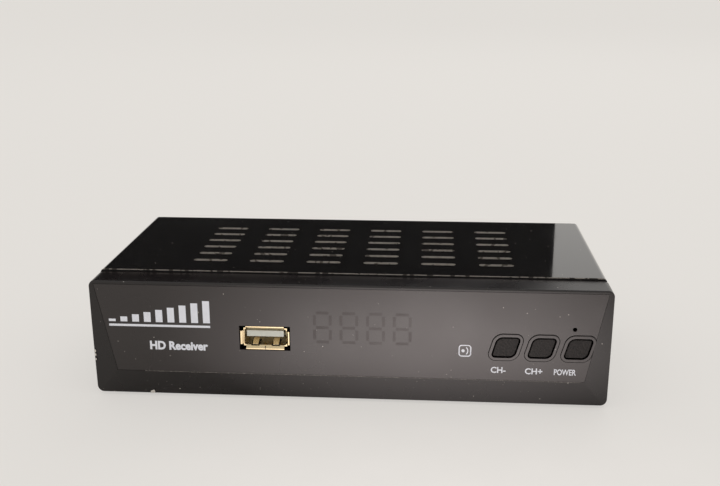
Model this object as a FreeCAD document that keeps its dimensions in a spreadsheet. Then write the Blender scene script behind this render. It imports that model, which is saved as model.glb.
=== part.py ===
import FreeCAD, Part
import math
import os
import Sketcher

Vector = FreeCAD.Vector
Rotation = FreeCAD.Rotation

# Satellite receiver, in millimetres.
# X runs to the right seen from the front, Y to the rear and Z up; the front face looks along -Y.

# Driving dimensions, one cell each
SIZES = {
    # front frame
    "bezel_width": 155.0,
    "bezel_height": 36.4,
    "bezel_lip": 9.4,
    "bezel_plate": 2.4,
    "bezel_corner": 2.0,
    "bezel_edge": 0.5,
    "bezel_floor_gap": 1.0,
    "tongue_reach": 4.0,
    "tongue_wall": 1.2,
    "facet_height": 7.5,
    "facet_inset": 6.9,
    "facet_slope": 0.2,
    "facet_lean": 0.1,
    # inlay window
    "window_thickness": 1.0,
    "window_rim": 0.25,
    "window_top_rim": 1.1,
    "pinhole_radius": 0.65,
    # housing
    "body_depth": 72.0,
    "cover_sheet": 0.8,
    "cover_step": 0.7,
    "cover_inset": 0.7,
    "cover_bend": 1.5,
    "cover_flange": 7.5,
    "cover_relief": 1.5,
    "chassis_sheet": 0.8,
    "chassis_step": 0.6,
    "chassis_flange": 9.0,
    "fit_gap": 0.1,
    "hole_gap": 0.3,
    "cut_margin": 0.7,
    # vent slots
    "slot_length": 10.7,
    "slot_width": 2.0,
    "slot_column_pitch": 17.9,
    "slot_row_pitch": 7.36,
    "slot_first_row": 20.0,
    "side_vent_length": 14.0,
    "side_vent_width": 1.8,
    "side_vent_pitch": 4.2,
    "side_vent_first": 22.0,
    "side_vent_height": 21.0,
    "base_vent_length": 16.0,
    "base_vent_pitch": 5.0,
    "base_vent_first": 26.0,
    # feet
    "foot_radius": 5.0,
    "foot_taper": 0.5,
    "foot_inset": 13.5,
    "foot_front": 19.0,
    "foot_rear": 61.0,
    # buttons
    "button_pitch": 10.55,
    "middle_button_inset": 20.0,
    "button_height_place": 18.25,
    "button_width": 6.4,
    "button_height": 5.8,
    "button_lean": 0.28,
    "button_wide_corner": 2.0,
    "button_tight_corner": 0.7,
    "button_edge": 0.3,
    "button_proud": 0.1,
    "button_gap": 0.4,
    "button_flange_grow": 1.2,
    "button_flange_thickness": 1.2,
    "button_stop_gap": 0.1,
    "ring_width": 0.9,
    "ring_proud": 0.25,
    "ring_edge": 0.2,
    "ring_groove": 0.15,
    "stem_radius": 1.25,
    # push switches
    "switch_side": 6.0,
    "switch_depth": 3.5,
    "switch_face": 0.6,
    "plunger_radius": 1.75,
    "plunger_reach": 1.5,
    "plunger_gap": 0.08,
    "collar_grow": 0.45,
    "collar_thickness": 1.0,
    "cavity_depth": 2.0,
    # front board
    "front_board_place": 11.5,
    "board_thickness": 1.6,
    "front_board_left": -37.0,
    "front_board_side_gap": 1.2,
    "front_board_bottom": 5.6,
    "front_board_top": 32.6,
    "front_board_hole_inset": 3.5,
    "boss_radius": 2.5,
    "bezel_screw_inset": 17.5,
    "bezel_boss_height": 3.6,
    # USB socket
    "usb_place": -24.7,
    "usb_height_place": 19.2,
    "usb_shell_width": 13.1,
    "usb_shell_height": 5.7,
    "usb_cutout_width": 15.4,
    "usb_cutout_height": 7.7,
    "usb_flare": 0.8,
    "usb_flare_depth": 0.9,
    "usb_flap_width": 11.5,
    "usb_side_flap_height": 4.2,
    "usb_set_back": 0.2,
    "usb_tongue_width": 11.1,
    "usb_tongue_thickness": 1.85,
    "usb_tongue_rise": 1.05,
    "usb_tongue_set_back": 1.3,
    "usb_base_depth": 2.6,
    "contact_width": 1.0,
    "contact_thickness": 0.25,
    "contact_inner_place": 1.0,
    "contact_outer_place": 3.5,
    "shell_sheet": 0.3,
    # display, receiver eye and lamp
    "display_place": 4.55,
    "display_height_place": 23.1,
    "display_width": 32.0,
    "display_height": 14.0,
    "display_depth": 7.2,
    "display_view_width": 31.0,
    "display_view_height": 12.6,
    "eye_place": 27.5,
    "eye_height_place": 16.8,
    "eye_radius": 2.4,
    "eye_side": 6.0,
    "eye_depth": 2.6,
    "eye_set_back": 4.2,
    "lamp_inset": 10.8,
    "lamp_height_place": 24.3,
    "lamp_radius": 1.5,
    "lamp_length": 3.6,
    "lamp_rim": 0.4,
    "lamp_rim_thickness": 0.9,
    "lead_radius": 0.25,
    "lead_pitch": 1.27,
    # main board
    "standoff_height": 6.0,
    "standoff_across": 5.5,
    "main_board_side_gap": 4.1,
    "main_board_front_gap": 1.5,
    "main_board_rear_gap": 1.0,
    "main_board_hole_inset": 3.6,
    "header_pitch": 2.54,
    "header_side": 2.5,
    "header_pin": 0.64,
    "header_pin_reach": 2.2,
    # screws
    "cover_screw_head": 2.6,
    "cover_screw_head_height": 0.6,
    "cover_screw_shank": 1.25,
    "cover_screw_length": 4.0,
    "cover_screw_inset": 15.5,
    "side_screw_place": 50.0,
    "side_screw_height": 5.4,
    "board_screw_head": 2.7,
    "board_screw_head_height": 1.6,
    "board_screw_shank": 1.45,
    "board_screw_length": 6.0,
    "bezel_screw_head": 2.2,
    "bezel_screw_head_height": 1.1,
    "bezel_screw_shank": 1.15,
    "bezel_screw_length": 3.8,
    "front_screw_length": 6.0,
    "recess_width": 0.6,
    "recess_share": 0.6,
    "thread_gap": 0.05,
    # aerial sockets and tuner
    "barrel_reach": 10.5,
    "barrel_radius": 4.72,
    "barrel_bore": 3.5,
    "insulator_set_back": 0.8,
    "insulator_bore": 0.6,
    "aerial_socket_rise": 7.0,
    "aerial_hole_gap": 1.0,
    "aerial_pitch": 20.0,
    "tuner_screw_gap": 0.7,
    "tuner_width": 38.0,
    "tuner_depth": 30.0,
    "tuner_height": 13.5,
    "tuner_sheet": 0.4,
    "tuner_lid_skirt": 2.0,
    "tuner_wall_gap": 0.4,
    # digital video socket
    "video_place": -3.0,
    "video_width": 15.0,
    "video_height": 5.6,
    "video_chamfer": 1.4,
    "video_depth": 12.0,
    "video_proud": 0.3,
    "video_flare": 0.6,
    "video_flare_depth": 0.8,
    "video_flap_width": 11.0,
    "video_side_flap_height": 2.2,
    "video_sheet": 0.4,
    "video_tongue_width": 11.2,
    "video_tongue_thickness": 1.3,
    "video_tongue_set_back": 2.0,
    "video_base_depth": 3.0,
    # 3.5 mm jacks
    "jack_gap": 7.6,
    "jack_inlet_gap": 10.3,
    "jack_width": 6.4,
    "jack_height": 6.6,
    "jack_depth": 12.0,
    "jack_nose": 3.1,
    "jack_bore": 1.8,
    "jack_bore_depth": 12.5,
    "jack_proud": 0.2,
    # power inlet
    "dc_screw_gap": 2.2,
    "dc_width": 9.0,
    "dc_height": 11.0,
    "dc_depth": 14.0,
    "dc_rise": 6.3,
    "dc_bore": 3.15,
    "dc_bore_depth": 10.0,
    "dc_pin": 1.05,
    "dc_pin_set_back": 1.0,
    "dc_proud": 0.3,
    # parts on the main board
    "chip_side": 14.0,
    "chip_height": 1.2,
    "chip_forward": 40.0,
    "pad_side": 13.0,
    "pad_height": 0.5,
    "sink_side": 25.0,
    "sink_base": 2.0,
    "sink_fin_height": 7.0,
    "sink_fin": 1.0,
    "memory_gap": 7.5,
    "memory_width": 8.0,
    "memory_depth": 13.0,
    "memory_height": 1.1,
    "flash_place": 20.0,
    "flash_forward": 28.0,
    "flash_side": 5.3,
    "flash_height": 1.9,
    "flash_lead_reach": 1.2,
    "flash_lead_width": 0.4,
    "crystal_gap": 1.2,
    "crystal_length": 11.0,
    "crystal_width": 4.6,
    "crystal_height": 3.4,
    "capacitor_radius": 4.0,
    "capacitor_height": 9.0,
    "capacitor_edge": 0.6,
    "capacitor_pitch": 10.0,
    "capacitor_inset": 11.0,
    "capacitor_forward": 24.0,
    "inductor_side": 7.0,
    "inductor_height": 4.0,
    "inductor_corner": 1.2,
    "inductor_forward": 46.0,
}

SLOT_COLUMNS = 6
SLOT_ROWS = 6
SIDE_VENTS = 10
BASE_VENTS = 6
HEADER_PINS = 10
SINK_FINS = 7
TINY = 1e-6
X, Y, Z = range(3)
FACE_SIGNS = {"XY_Plane": 1, "XZ_Plane": -1, "YZ_Plane": 1}
TURNS = {
    "+x": Rotation(Vector(0, 1, 0), 90),
    "-x": Rotation(Vector(0, 1, 0), -90),
    "+y": Rotation(Vector(1, 0, 0), -90),
    "-y": Rotation(Vector(1, 0, 0), 90),
    "+z": Rotation(),
    "-z": Rotation(Vector(1, 0, 0), 180),
}


class Size:
    """A length together with the cell expression that gives it."""

    def __init__(self, value, text):
        self.value = float(value)
        self.text = text

    def __add__(self, other):
        other = as_size(other)
        return Size(self.value + other.value, f"({self.text} + {other.text})")

    def __sub__(self, other):
        other = as_size(other)
        return Size(self.value - other.value, f"({self.text} - {other.text})")

    def __mul__(self, other):
        other = as_size(other)
        return Size(self.value * other.value, f"({self.text} * {other.text})")

    def __truediv__(self, other):
        other = as_size(other)
        return Size(self.value / other.value, f"({self.text} / {other.text})")

    def __neg__(self):
        return Size(-self.value, f"(0 - {self.text})")


def as_size(number):
    return number if isinstance(number, Size) else Size(number, str(number))


class Dimensions:
    """The sheet's cells by their aliases."""


doc = FreeCAD.newDocument("satellite_receiver")
sheet = doc.addObject("Spreadsheet::Sheet", "sizes")
dim = Dimensions()
for row, (alias, number) in enumerate(SIZES.items(), start=1):
    sheet.set(f"A{row}", alias)
    sheet.set(f"B{row}", str(number))
    sheet.setAlias(f"B{row}", alias)
    setattr(dim, alias, Size(number, f"sizes.{alias}"))
doc.recompute()

# Places worked out from the driving dimensions
front_y = (dim.ring_proud - dim.body_depth - dim.barrel_reach) / 2
rear_y = front_y + dim.body_depth
plate_back_y = front_y + dim.bezel_plate
lip_y = front_y + dim.bezel_lip
tongue_y = lip_y + dim.tongue_reach
cover_front_y = lip_y + dim.fit_gap
cover_bend_y = rear_y - dim.cover_bend
wall_out_y = rear_y - dim.cover_sheet - dim.fit_gap
wall_in_y = wall_out_y - dim.chassis_sheet
front_board_y = front_y + dim.front_board_place
front_board_back_y = front_board_y + dim.board_thickness
main_front_y = front_board_back_y + dim.main_board_front_gap
main_rear_y = wall_in_y - dim.main_board_rear_gap

bezel_bottom = dim.bezel_floor_gap
bezel_top = bezel_bottom + dim.bezel_height
cover_top = bezel_top + dim.cover_step
cover_under = cover_top - dim.cover_sheet
chassis_under = bezel_bottom + dim.chassis_step
chassis_floor = chassis_under + dim.chassis_sheet
wall_top = cover_top - dim.cover_bend - dim.fit_gap
tongue_bottom = chassis_floor + dim.fit_gap
tongue_top = cover_under - dim.fit_gap
cavity_bottom = tongue_bottom + dim.tongue_wall
cavity_top = tongue_top - dim.tongue_wall
facet_z = bezel_bottom + dim.facet_height
board_under = chassis_floor + dim.standoff_height
board_top = board_under + dim.board_thickness

bezel_half = dim.bezel_width / 2
cover_half = bezel_half - dim.cover_inset
cover_inner = cover_half - dim.cover_sheet
chassis_half = cover_inner - dim.fit_gap
cavity_half = chassis_half - dim.tongue_wall
facet_half = bezel_half - dim.facet_inset
middle_button_x = bezel_half - dim.middle_button_inset
lamp_x = bezel_half - dim.lamp_inset
foot_x = bezel_half - dim.foot_inset
cover_screw_x = bezel_half - dim.cover_screw_inset
bezel_screw_x = bezel_half - dim.bezel_screw_inset
front_board_right = cavity_half - dim.front_board_side_gap

# Along the rear of the main board, inward from its screws
main_board_half = chassis_half - dim.chassis_sheet - dim.main_board_side_gap
board_screw_x = main_board_half - dim.main_board_hole_inset
tuner_x = board_screw_x - dim.board_screw_head - dim.tuner_screw_gap - dim.tuner_width / 2
lnb_x = tuner_x + dim.aerial_pitch / 2
antenna_x = tuner_x - dim.aerial_pitch / 2
dc_x = dim.board_screw_head + dim.dc_screw_gap + dim.dc_width / 2 - board_screw_x
data_x = dc_x + dim.dc_width / 2 + dim.jack_inlet_gap + dim.jack_width / 2
av_x = data_x + dim.jack_width + dim.jack_gap
capacitor_x = dim.capacitor_inset - main_board_half
memory_x = -(dim.sink_side / 2 + dim.memory_gap + dim.memory_width / 2)
crystal_x = tuner_x - dim.tuner_width / 2 - dim.crystal_gap - dim.crystal_length / 2

button_z = bezel_bottom + dim.button_height_place
button_places = {
    "channel_down": middle_button_x - dim.button_pitch,
    "channel_up": middle_button_x,
    "power": middle_button_x + dim.button_pitch,
}
usb_z = bezel_bottom + dim.usb_height_place
display_z = bezel_bottom + dim.display_height_place
eye_z = bezel_bottom + dim.eye_height_place
lamp_z = bezel_bottom + dim.lamp_height_place
aerial_z = board_top + dim.aerial_socket_rise
video_z = board_top + dim.video_height / 2
jack_z = board_top + dim.jack_height / 2
dc_z = board_top + dim.dc_rise
chip_y = front_y + dim.chip_forward
crystal_y = chip_y + dim.sink_side / 2 + dim.crystal_gap + dim.crystal_width / 2
cover_screw_z = cover_top - dim.cover_flange / 2
side_screw_z = chassis_under + dim.side_screw_height
side_screw_y = front_y + dim.side_screw_place
bezel_screw_y = lip_y + dim.bezel_screw_head + dim.hole_gap
cut_margin = dim.cut_margin

front_board_holes = [
    (x, z)
    for x in (dim.front_board_left + dim.front_board_hole_inset, front_board_right - dim.front_board_hole_inset)
    for z in (
        bezel_bottom + dim.front_board_bottom + dim.front_board_hole_inset,
        bezel_bottom + dim.front_board_top - dim.front_board_hole_inset,
    )
]
main_board_holes = [
    (x, y)
    for x in (-board_screw_x, board_screw_x)
    for y in (main_front_y + dim.main_board_hole_inset, main_rear_y - dim.main_board_hole_inset)
]


def about(centre, width):
    centre = as_size(centre)
    return (centre - width / 2, centre + width / 2)


def bind(feature, prop, size):
    feature.setExpression(prop, as_size(size).text)


def place_at(feature, x, y, z, turn="+z"):
    feature.Placement = FreeCAD.Placement(Vector(), TURNS[turn])
    for letter, size in (("x", x), ("y", y), ("z", z)):
        bind(feature, f"Placement.Base.{letter}", size)
    return feature


# Primitives and booleans

def make_block(name, x, y, z):
    """A box between the pairs x, y and z."""
    block = doc.addObject("Part::Box", name)
    for prop, (low, high) in (("Length", x), ("Width", y), ("Height", z)):
        bind(block, prop, as_size(high) - low)
    return place_at(block, x[0], y[0], z[0])


def make_rod(name, radius, length, start, turn):
    rod = doc.addObject("Part::Cylinder", name)
    bind(rod, "Radius", radius)
    bind(rod, "Height", length)
    return place_at(rod, *start, turn)


def group(name, shapes):
    compound = doc.addObject("Part::Compound", name)
    compound.Links = list(shapes)
    return compound


def fuse(name, shapes):
    fusion = doc.addObject("Part::MultiFuse", name)
    fusion.Shapes = list(shapes)
    return fusion


def cut(name, base, tools):
    difference = doc.addObject("Part::Cut", name)
    difference.Base = base
    difference.Tool = group(f"{name}_cuts", tools) if len(tools) > 1 else tools[0]
    return difference


def copies(name, form, places):
    """Copies of one form, each at (x, y, z, turn), in one node."""
    links = []
    for x, y, z, turn in places:
        link = doc.addObject("App::Link", f"{name}_copy")
        link.LinkedObject = form
        links.append(place_at(link, x, y, z, turn))
    return group(name, links)


# Sketches

def new_sketch(body, plane, offset):
    """A sketch on one of the body's own origin planes, offset along the row axis."""
    role = f"{plane}_Plane"
    sketch = body.newObject("Sketcher::SketchObject", f"{body.Name}_sketch")
    support = next(feature for feature in body.Origin.OriginFeatures if feature.Role == role)
    sketch.AttachmentSupport = (support, [""])
    sketch.MapMode = "FlatFace"
    bind(sketch, "AttachmentOffset.Base.z", as_size(offset) * FACE_SIGNS[role])
    return sketch


def hold(sketch, kind, geometry, point, size):
    """Keep a point's distance from the sketch's origin."""
    rule = sketch.addConstraint(Sketcher.Constraint(kind, -1, 1, geometry, point, size.value))
    bind(sketch, f"Constraints[{rule}]", size)


def hold_radius(sketch, geometry, radius):
    rule = sketch.addConstraint(Sketcher.Constraint("Radius", geometry, radius.value))
    bind(sketch, f"Constraints[{rule}]", radius)


def draw_outline(sketch, corners, arcs=None):
    """A closed outline; arcs gives the centre and radius of each edge that is round."""
    arcs = arcs or {}
    corners = [(as_size(x), as_size(y)) for x, y in corners]
    points = [Vector(x.value, y.value) for x, y in corners]
    count = len(points)
    ends = []
    for index, start in enumerate(points):
        end = points[(index + 1) % count]
        if index not in arcs:
            ends.append((sketch.addGeometry(Part.LineSegment(start, end), False), 1, 2))
            continue
        centre, radius = arcs[index]
        middle = Vector(centre[0].value, centre[1].value)
        counterclockwise = (start - middle).cross(end - middle).z > 0
        first, last = (start, end) if counterclockwise else (end, start)
        angles = [math.atan2(point.y - middle.y, point.x - middle.x) for point in (first, last)]
        circle = Part.Circle(middle, Vector(0, 0, 1), radius.value)
        arc = sketch.addGeometry(Part.ArcOfCircle(circle, *angles), False)
        hold_radius(sketch, arc, radius)
        ends.append((arc, 1, 2) if counterclockwise else (arc, 2, 1))
    for index, (x, y) in enumerate(corners):
        before, _, before_end = ends[index - 1]
        edge, edge_start, _ = ends[index]
        sketch.addConstraint(Sketcher.Constraint("Coincident", before, before_end, edge, edge_start))
        hold(sketch, "DistanceX", edge, edge_start, x)
        hold(sketch, "DistanceY", edge, edge_start, y)


def draw_rectangle(sketch, across, up):
    draw_outline(sketch, [(across[0], up[0]), (across[1], up[0]), (across[1], up[1]), (across[0], up[1])])


def draw_circle(sketch, centre, radius):
    x, y = (as_size(size) for size in centre)
    circle = sketch.addGeometry(Part.Circle(Vector(x.value, y.value), Vector(0, 0, 1), radius.value), False)
    hold(sketch, "DistanceX", circle, 3, x)
    hold(sketch, "DistanceY", circle, 3, y)
    hold_radius(sketch, circle, radius)


def draw_slot(sketch, centre, length, width, upright=False):
    """A slot with round ends about its centre."""
    x, y = (as_size(size) for size in centre)
    radius = width / 2
    reach = length / 2 - radius
    middles = [(x, y - reach), (x, y + reach)] if upright else [(x - reach, y), (x + reach, y)]
    opening = math.pi if upright else math.pi / 2
    arcs = []
    for turn, (across, up) in enumerate(middles):
        circle = Part.Circle(Vector(across.value, up.value), Vector(0, 0, 1), radius.value)
        start = opening + turn * math.pi
        arcs.append(sketch.addGeometry(Part.ArcOfCircle(circle, start, start + math.pi), False))
    for first, second in (arcs, arcs[::-1]):
        start = sketch.getPoint(first, 2)
        end = sketch.getPoint(second, 1)
        side = sketch.addGeometry(Part.LineSegment(start, end), False)
        sketch.addConstraint(Sketcher.Constraint("Tangent", first, 2, side, 1))
        sketch.addConstraint(Sketcher.Constraint("Tangent", side, 2, second, 1))
    sketch.addConstraint(Sketcher.Constraint("Equal", *arcs))
    hold_radius(sketch, arcs[0], radius)
    for arc, (across, up) in zip(arcs, middles):
        hold(sketch, "DistanceX", arc, 3, across)
        hold(sketch, "DistanceY", arc, 3, up)


# Body features

def new_body(name):
    return doc.addObject("PartDesign::Body", name)


def extrude(body, kind, sketch, length, direction=0):
    """A pad or a pocket along the row axis; direction 0 goes both ways."""
    before = body.Shape.Volume if body.Tip else 0.0
    feature = body.newObject(f"PartDesign::{kind}", f"{body.Name}_{kind.lower()}")
    feature.Profile = sketch
    bind(feature, "Length", length)
    if direction == 0:
        feature.SideType = "Symmetric"
    else:
        along_normal = direction == FACE_SIGNS[sketch.AttachmentSupport[0][0].Role]
        feature.Reversed = along_normal == (kind == "Pocket")
    doc.recompute()
    change = body.Shape.Volume - before
    if abs(change) < TINY or (change < 0) != (kind == "Pocket"):
        raise ValueError(f"{feature.Name} changes nothing")
    return feature


def pad(body, sketch, length, direction=0):
    return extrude(body, "Pad", sketch, length, direction)


def pocket(body, sketch, length, direction=0):
    return extrude(body, "Pocket", sketch, length, direction)


def repeat(body, feature, sketch, axis, pitch, count):
    pattern = body.newObject("PartDesign::LinearPattern", f"{body.Name}_pattern")
    pattern.Originals = [feature]
    pattern.Direction = (sketch, [axis])
    pattern.Mode = "Spacing"
    bind(pattern, "Offset", pitch)
    pattern.Occurrences = count
    body.Tip = pattern
    doc.recompute()


def edges_along(feature, axis, wanted=lambda middle: True):
    """Names of the straight edges along an axis whose middle point is wanted."""
    names = []
    for number, edge in enumerate(feature.Shape.Edges, start=1):
        if not isinstance(edge.Curve, Part.Line):
            continue
        direction = edge.Vertexes[1].Point - edge.Vertexes[0].Point
        straight = all(abs(direction[other]) < TINY for other in (X, Y, Z) if other != axis)
        if straight and wanted(edge.CenterOfMass):
            names.append(f"Edge{number}")
    return names


def edges_at(feature, axis, level):
    """Names of the edges that lie in one plane square to an axis."""
    names = []
    for number, edge in enumerate(feature.Shape.Edges, start=1):
        box = edge.BoundBox
        low, high = ((box.XMin, box.XMax), (box.YMin, box.YMax), (box.ZMin, box.ZMax))[axis]
        if abs(low - level.value) < 1e-3 and abs(high - level.value) < 1e-3:
            names.append(f"Edge{number}")
    return names


def round_edges(body, names, radius):
    base = body.Tip
    feature = body.newObject("PartDesign::Fillet", f"{body.Name}_fillet")
    feature.Base = (base, names)
    bind(feature, "Radius", radius)
    doc.recompute()


def make_leaning_prism(name, centre_x, width, height, wide, tight, start_y, end_y):
    """A right-leaning four-sided block along Y with two wide and two tight corners."""
    body = new_body(name)
    shift = height * dim.button_lean / 2
    low, high = about(button_z, height)
    left, right = about(centre_x, width)
    face = new_sketch(body, "XZ", start_y)
    draw_outline(face, [(left - shift, low), (right - shift, low), (right + shift, high), (left + shift, high)])
    pad(body, face, end_y - start_y, 1)
    middle = Vector(centre_x.value, 0, button_z.value)

    def leans_out(point):
        return (point.x - middle.x) * (point.z - middle.z) < 0

    round_edges(body, edges_along(body, Y, leans_out), wide)
    round_edges(body, edges_along(body, Y, lambda point: not leans_out(point)), tight)
    return body


# Front frame

def facet_x(z):
    """Half width of the flat face at the height z."""
    return facet_half + dim.facet_slope * (z - facet_z)


def lean_lower_facet(body):
    bottom = bezel_bottom - cut_margin
    wedge = new_sketch(body, "YZ", 0)
    draw_outline(wedge, [(front_y, facet_z), (front_y, bottom), (front_y + dim.facet_lean * (facet_z - bottom), bottom)])
    pocket(body, wedge, dim.bezel_width + cut_margin * 2)


def lean_side_facets(body):
    outer = bezel_half + cut_margin
    for side in (-1, 1):
        sections = []
        for z in (bezel_bottom - cut_margin, bezel_top + cut_margin):
            section = new_sketch(body, "XY", z)
            depth = dim.facet_lean * (outer - facet_x(z))
            draw_outline(section, [(facet_x(z) * side, front_y), (outer * side, front_y), (outer * side, front_y + depth)])
            sections.append(section)
        loft = body.newObject("PartDesign::SubtractiveLoft", f"{body.Name}_facet")
        loft.Profile = sections[0]
        loft.Sections = [(sections[1], [""])]
        loft.Ruled = True
        doc.recompute()


def window_outline(grow):
    bottom = facet_z + dim.window_rim - grow
    top = bezel_top - dim.window_top_rim + grow
    low = facet_x(bottom) - dim.window_rim + grow
    high = facet_x(top) - dim.window_rim + grow
    return [(-low, bottom), (low, bottom), (high, top), (-high, top)]


def add_board_bosses(body):
    bosses = new_sketch(body, "XZ", plate_back_y)
    cores = new_sketch(body, "XZ", front_board_y)
    for centre in front_board_holes:
        draw_circle(bosses, centre, dim.boss_radius)
        draw_circle(cores, centre, dim.bezel_screw_shank + dim.thread_gap)
    pad(body, bosses, front_board_y - plate_back_y, 1)
    pocket(body, cores, dim.front_screw_length - dim.board_thickness + dim.hole_gap, -1)


def add_bezel_bosses(body):
    bosses = new_sketch(body, "XY", tongue_bottom)
    cores = new_sketch(body, "XY", tongue_bottom)
    for side in (-1, 1):
        centre = (bezel_screw_x * side, bezel_screw_y)
        draw_circle(bosses, centre, dim.boss_radius)
        draw_circle(cores, centre, dim.bezel_screw_shank + dim.thread_gap)
    pad(body, bosses, dim.bezel_boss_height, 1)
    pocket(body, cores, dim.bezel_screw_length - dim.chassis_sheet - dim.fit_gap + dim.hole_gap, 1)


def make_bezel_shell():
    body = new_body("bezel_shell")
    face = new_sketch(body, "XZ", front_y)
    draw_rectangle(face, about(0, dim.bezel_width), (bezel_bottom, bezel_top))
    pad(body, face, dim.bezel_lip, 1)
    round_edges(body, edges_along(body, Y), dim.bezel_corner)
    round_edges(body, edges_at(body, Y, front_y), dim.bezel_edge)
    tongue = new_sketch(body, "XZ", lip_y)
    draw_rectangle(tongue, (-chassis_half, chassis_half), (tongue_bottom, tongue_top))
    pad(body, tongue, dim.tongue_reach, 1)
    tongue_corners = edges_along(
        body, Y, lambda middle: middle.y > lip_y.value and middle.z > tongue_top.value - TINY)
    round_edges(body, tongue_corners, dim.cover_bend - dim.cover_sheet - dim.fit_gap)
    hollow = new_sketch(body, "XZ", plate_back_y)
    draw_rectangle(hollow, (-cavity_half, cavity_half), (cavity_bottom, cavity_top))
    pocket(body, hollow, tongue_y - plate_back_y, 1)
    add_board_bosses(body)
    add_bezel_bosses(body)
    lean_lower_facet(body)
    lean_side_facets(body)
    recess = new_sketch(body, "XZ", front_y)
    draw_outline(recess, window_outline(dim.fit_gap))
    pocket(body, recess, dim.window_thickness, 1)
    return body


def make_rim(name, centre_x):
    """The raised rim round one button, without its hole."""
    grow = (dim.button_gap + dim.ring_width) * 2
    body = make_leaning_prism(
        f"{name}_rim", centre_x, dim.button_width + grow, dim.button_height + grow,
        dim.button_wide_corner + grow / 2, dim.button_tight_corner + grow / 2,
        front_y - dim.ring_proud, front_y + dim.window_thickness,
    )
    round_edges(body, edges_at(body, Y, front_y - dim.ring_proud), dim.ring_edge)
    return body


def make_button_hole(name, centre_x):
    grow = dim.button_gap * 2
    return make_leaning_prism(
        f"{name}_hole", centre_x, dim.button_width + grow, dim.button_height + grow,
        dim.button_wide_corner + grow / 2, dim.button_tight_corner + grow / 2,
        front_y - dim.ring_proud - cut_margin, plate_back_y + cut_margin,
    )


def make_rim_opening(name, centre_x):
    grow = (dim.button_gap + dim.ring_width + dim.ring_groove) * 2
    return make_leaning_prism(
        f"{name}_opening", centre_x, dim.button_width + grow, dim.button_height + grow,
        dim.button_wide_corner + grow / 2, dim.button_tight_corner + grow / 2,
        front_y - cut_margin, front_y + dim.window_thickness + cut_margin,
    )


def make_front_cutout(name, centre_x, centre_z, width, height):
    """A block through the front plate."""
    return make_block(
        name, about(centre_x, width), (front_y - cut_margin, plate_back_y + cut_margin), about(centre_z, height),
    )


def make_front_hole(name, centre_x, centre_z, radius):
    start = (centre_x, front_y - cut_margin, centre_z)
    return make_rod(name, radius, dim.bezel_plate + cut_margin * 2, start, "+y")


def make_front_bezel():
    rims = [make_rim(name, place) for name, place in button_places.items()]
    solid = fuse("bezel_with_rims", [make_bezel_shell()] + rims)
    holes = [make_button_hole(name, place) for name, place in button_places.items()]
    holes.append(make_front_cutout(
        "bezel_usb_cutout", dim.usb_place, usb_z, dim.usb_cutout_width, dim.usb_cutout_height))
    holes.append(make_front_cutout(
        "bezel_display_cutout", dim.display_place, display_z, dim.display_view_width, dim.display_view_height))
    holes.append(make_front_hole("bezel_eye_hole", dim.eye_place, eye_z, dim.eye_radius + dim.hole_gap))
    holes.append(make_front_hole("bezel_lamp_hole", lamp_x, lamp_z, dim.lamp_radius + dim.hole_gap))
    return cut("front_bezel", solid, holes)


def make_front_window():
    plate = new_body("window_plate")
    face = new_sketch(plate, "XZ", front_y)
    draw_outline(face, window_outline(as_size(0)))
    pad(plate, face, dim.window_thickness, 1)
    openings = [make_rim_opening(name, place) for name, place in button_places.items()]
    openings.append(make_front_cutout(
        "window_usb_cutout", dim.usb_place, usb_z, dim.usb_cutout_width, dim.usb_cutout_height))
    openings.append(make_front_hole("window_pinhole", lamp_x, lamp_z, dim.pinhole_radius))
    return cut("front_window", plate, openings)


# Housing

def add_cover_flange(body):
    """The rear flange, bent down from the top sheet."""
    bend = (cover_bend_y, cover_top - dim.cover_bend)
    inner_y = rear_y - dim.cover_sheet
    bottom = cover_top - dim.cover_flange
    profile = new_sketch(body, "YZ", 0)
    corners = [
        (cover_bend_y, cover_under), (cover_bend_y, cover_top), (rear_y, bend[1]),
        (rear_y, bottom), (inner_y, bottom), (inner_y, bend[1]),
    ]
    draw_outline(profile, corners, {1: (bend, dim.cover_bend), 5: (bend, dim.cover_bend - dim.cover_sheet)})
    pad(body, profile, (cover_inner - dim.cover_relief) * 2)


def add_top_slots(body):
    row = new_sketch(body, "XY", cover_top)
    for column in range(SLOT_COLUMNS):
        x = dim.slot_column_pitch * (column - (SLOT_COLUMNS - 1) / 2)
        draw_slot(row, (x, front_y + dim.slot_first_row), dim.slot_length, dim.slot_width)
    cuts = pocket(body, row, dim.cover_sheet * 2, -1)
    repeat(body, cuts, row, "V_Axis", dim.slot_row_pitch, SLOT_ROWS)


def add_side_vents(body):
    vent = new_sketch(body, "YZ", 0)
    centre = (front_y + dim.side_vent_first, bezel_bottom + dim.side_vent_height)
    draw_slot(vent, centre, dim.side_vent_length, dim.side_vent_width, upright=True)
    cuts = pocket(body, vent, dim.bezel_width)
    repeat(body, cuts, vent, "H_Axis", dim.side_vent_pitch, SIDE_VENTS)


def add_side_screw_holes(body, radius):
    holes = new_sketch(body, "YZ", 0)
    draw_circle(holes, (side_screw_y, side_screw_z), radius)
    pocket(body, holes, dim.bezel_width)


def add_rear_screw_holes(body, face_y, radius):
    holes = new_sketch(body, "XZ", face_y)
    for x in rear_screw_places():
        draw_circle(holes, (x, cover_screw_z), radius)
    pocket(body, holes, dim.cover_sheet * 2, -1)


def rear_screw_places():
    return (-cover_screw_x, as_size(0), cover_screw_x)


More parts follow.
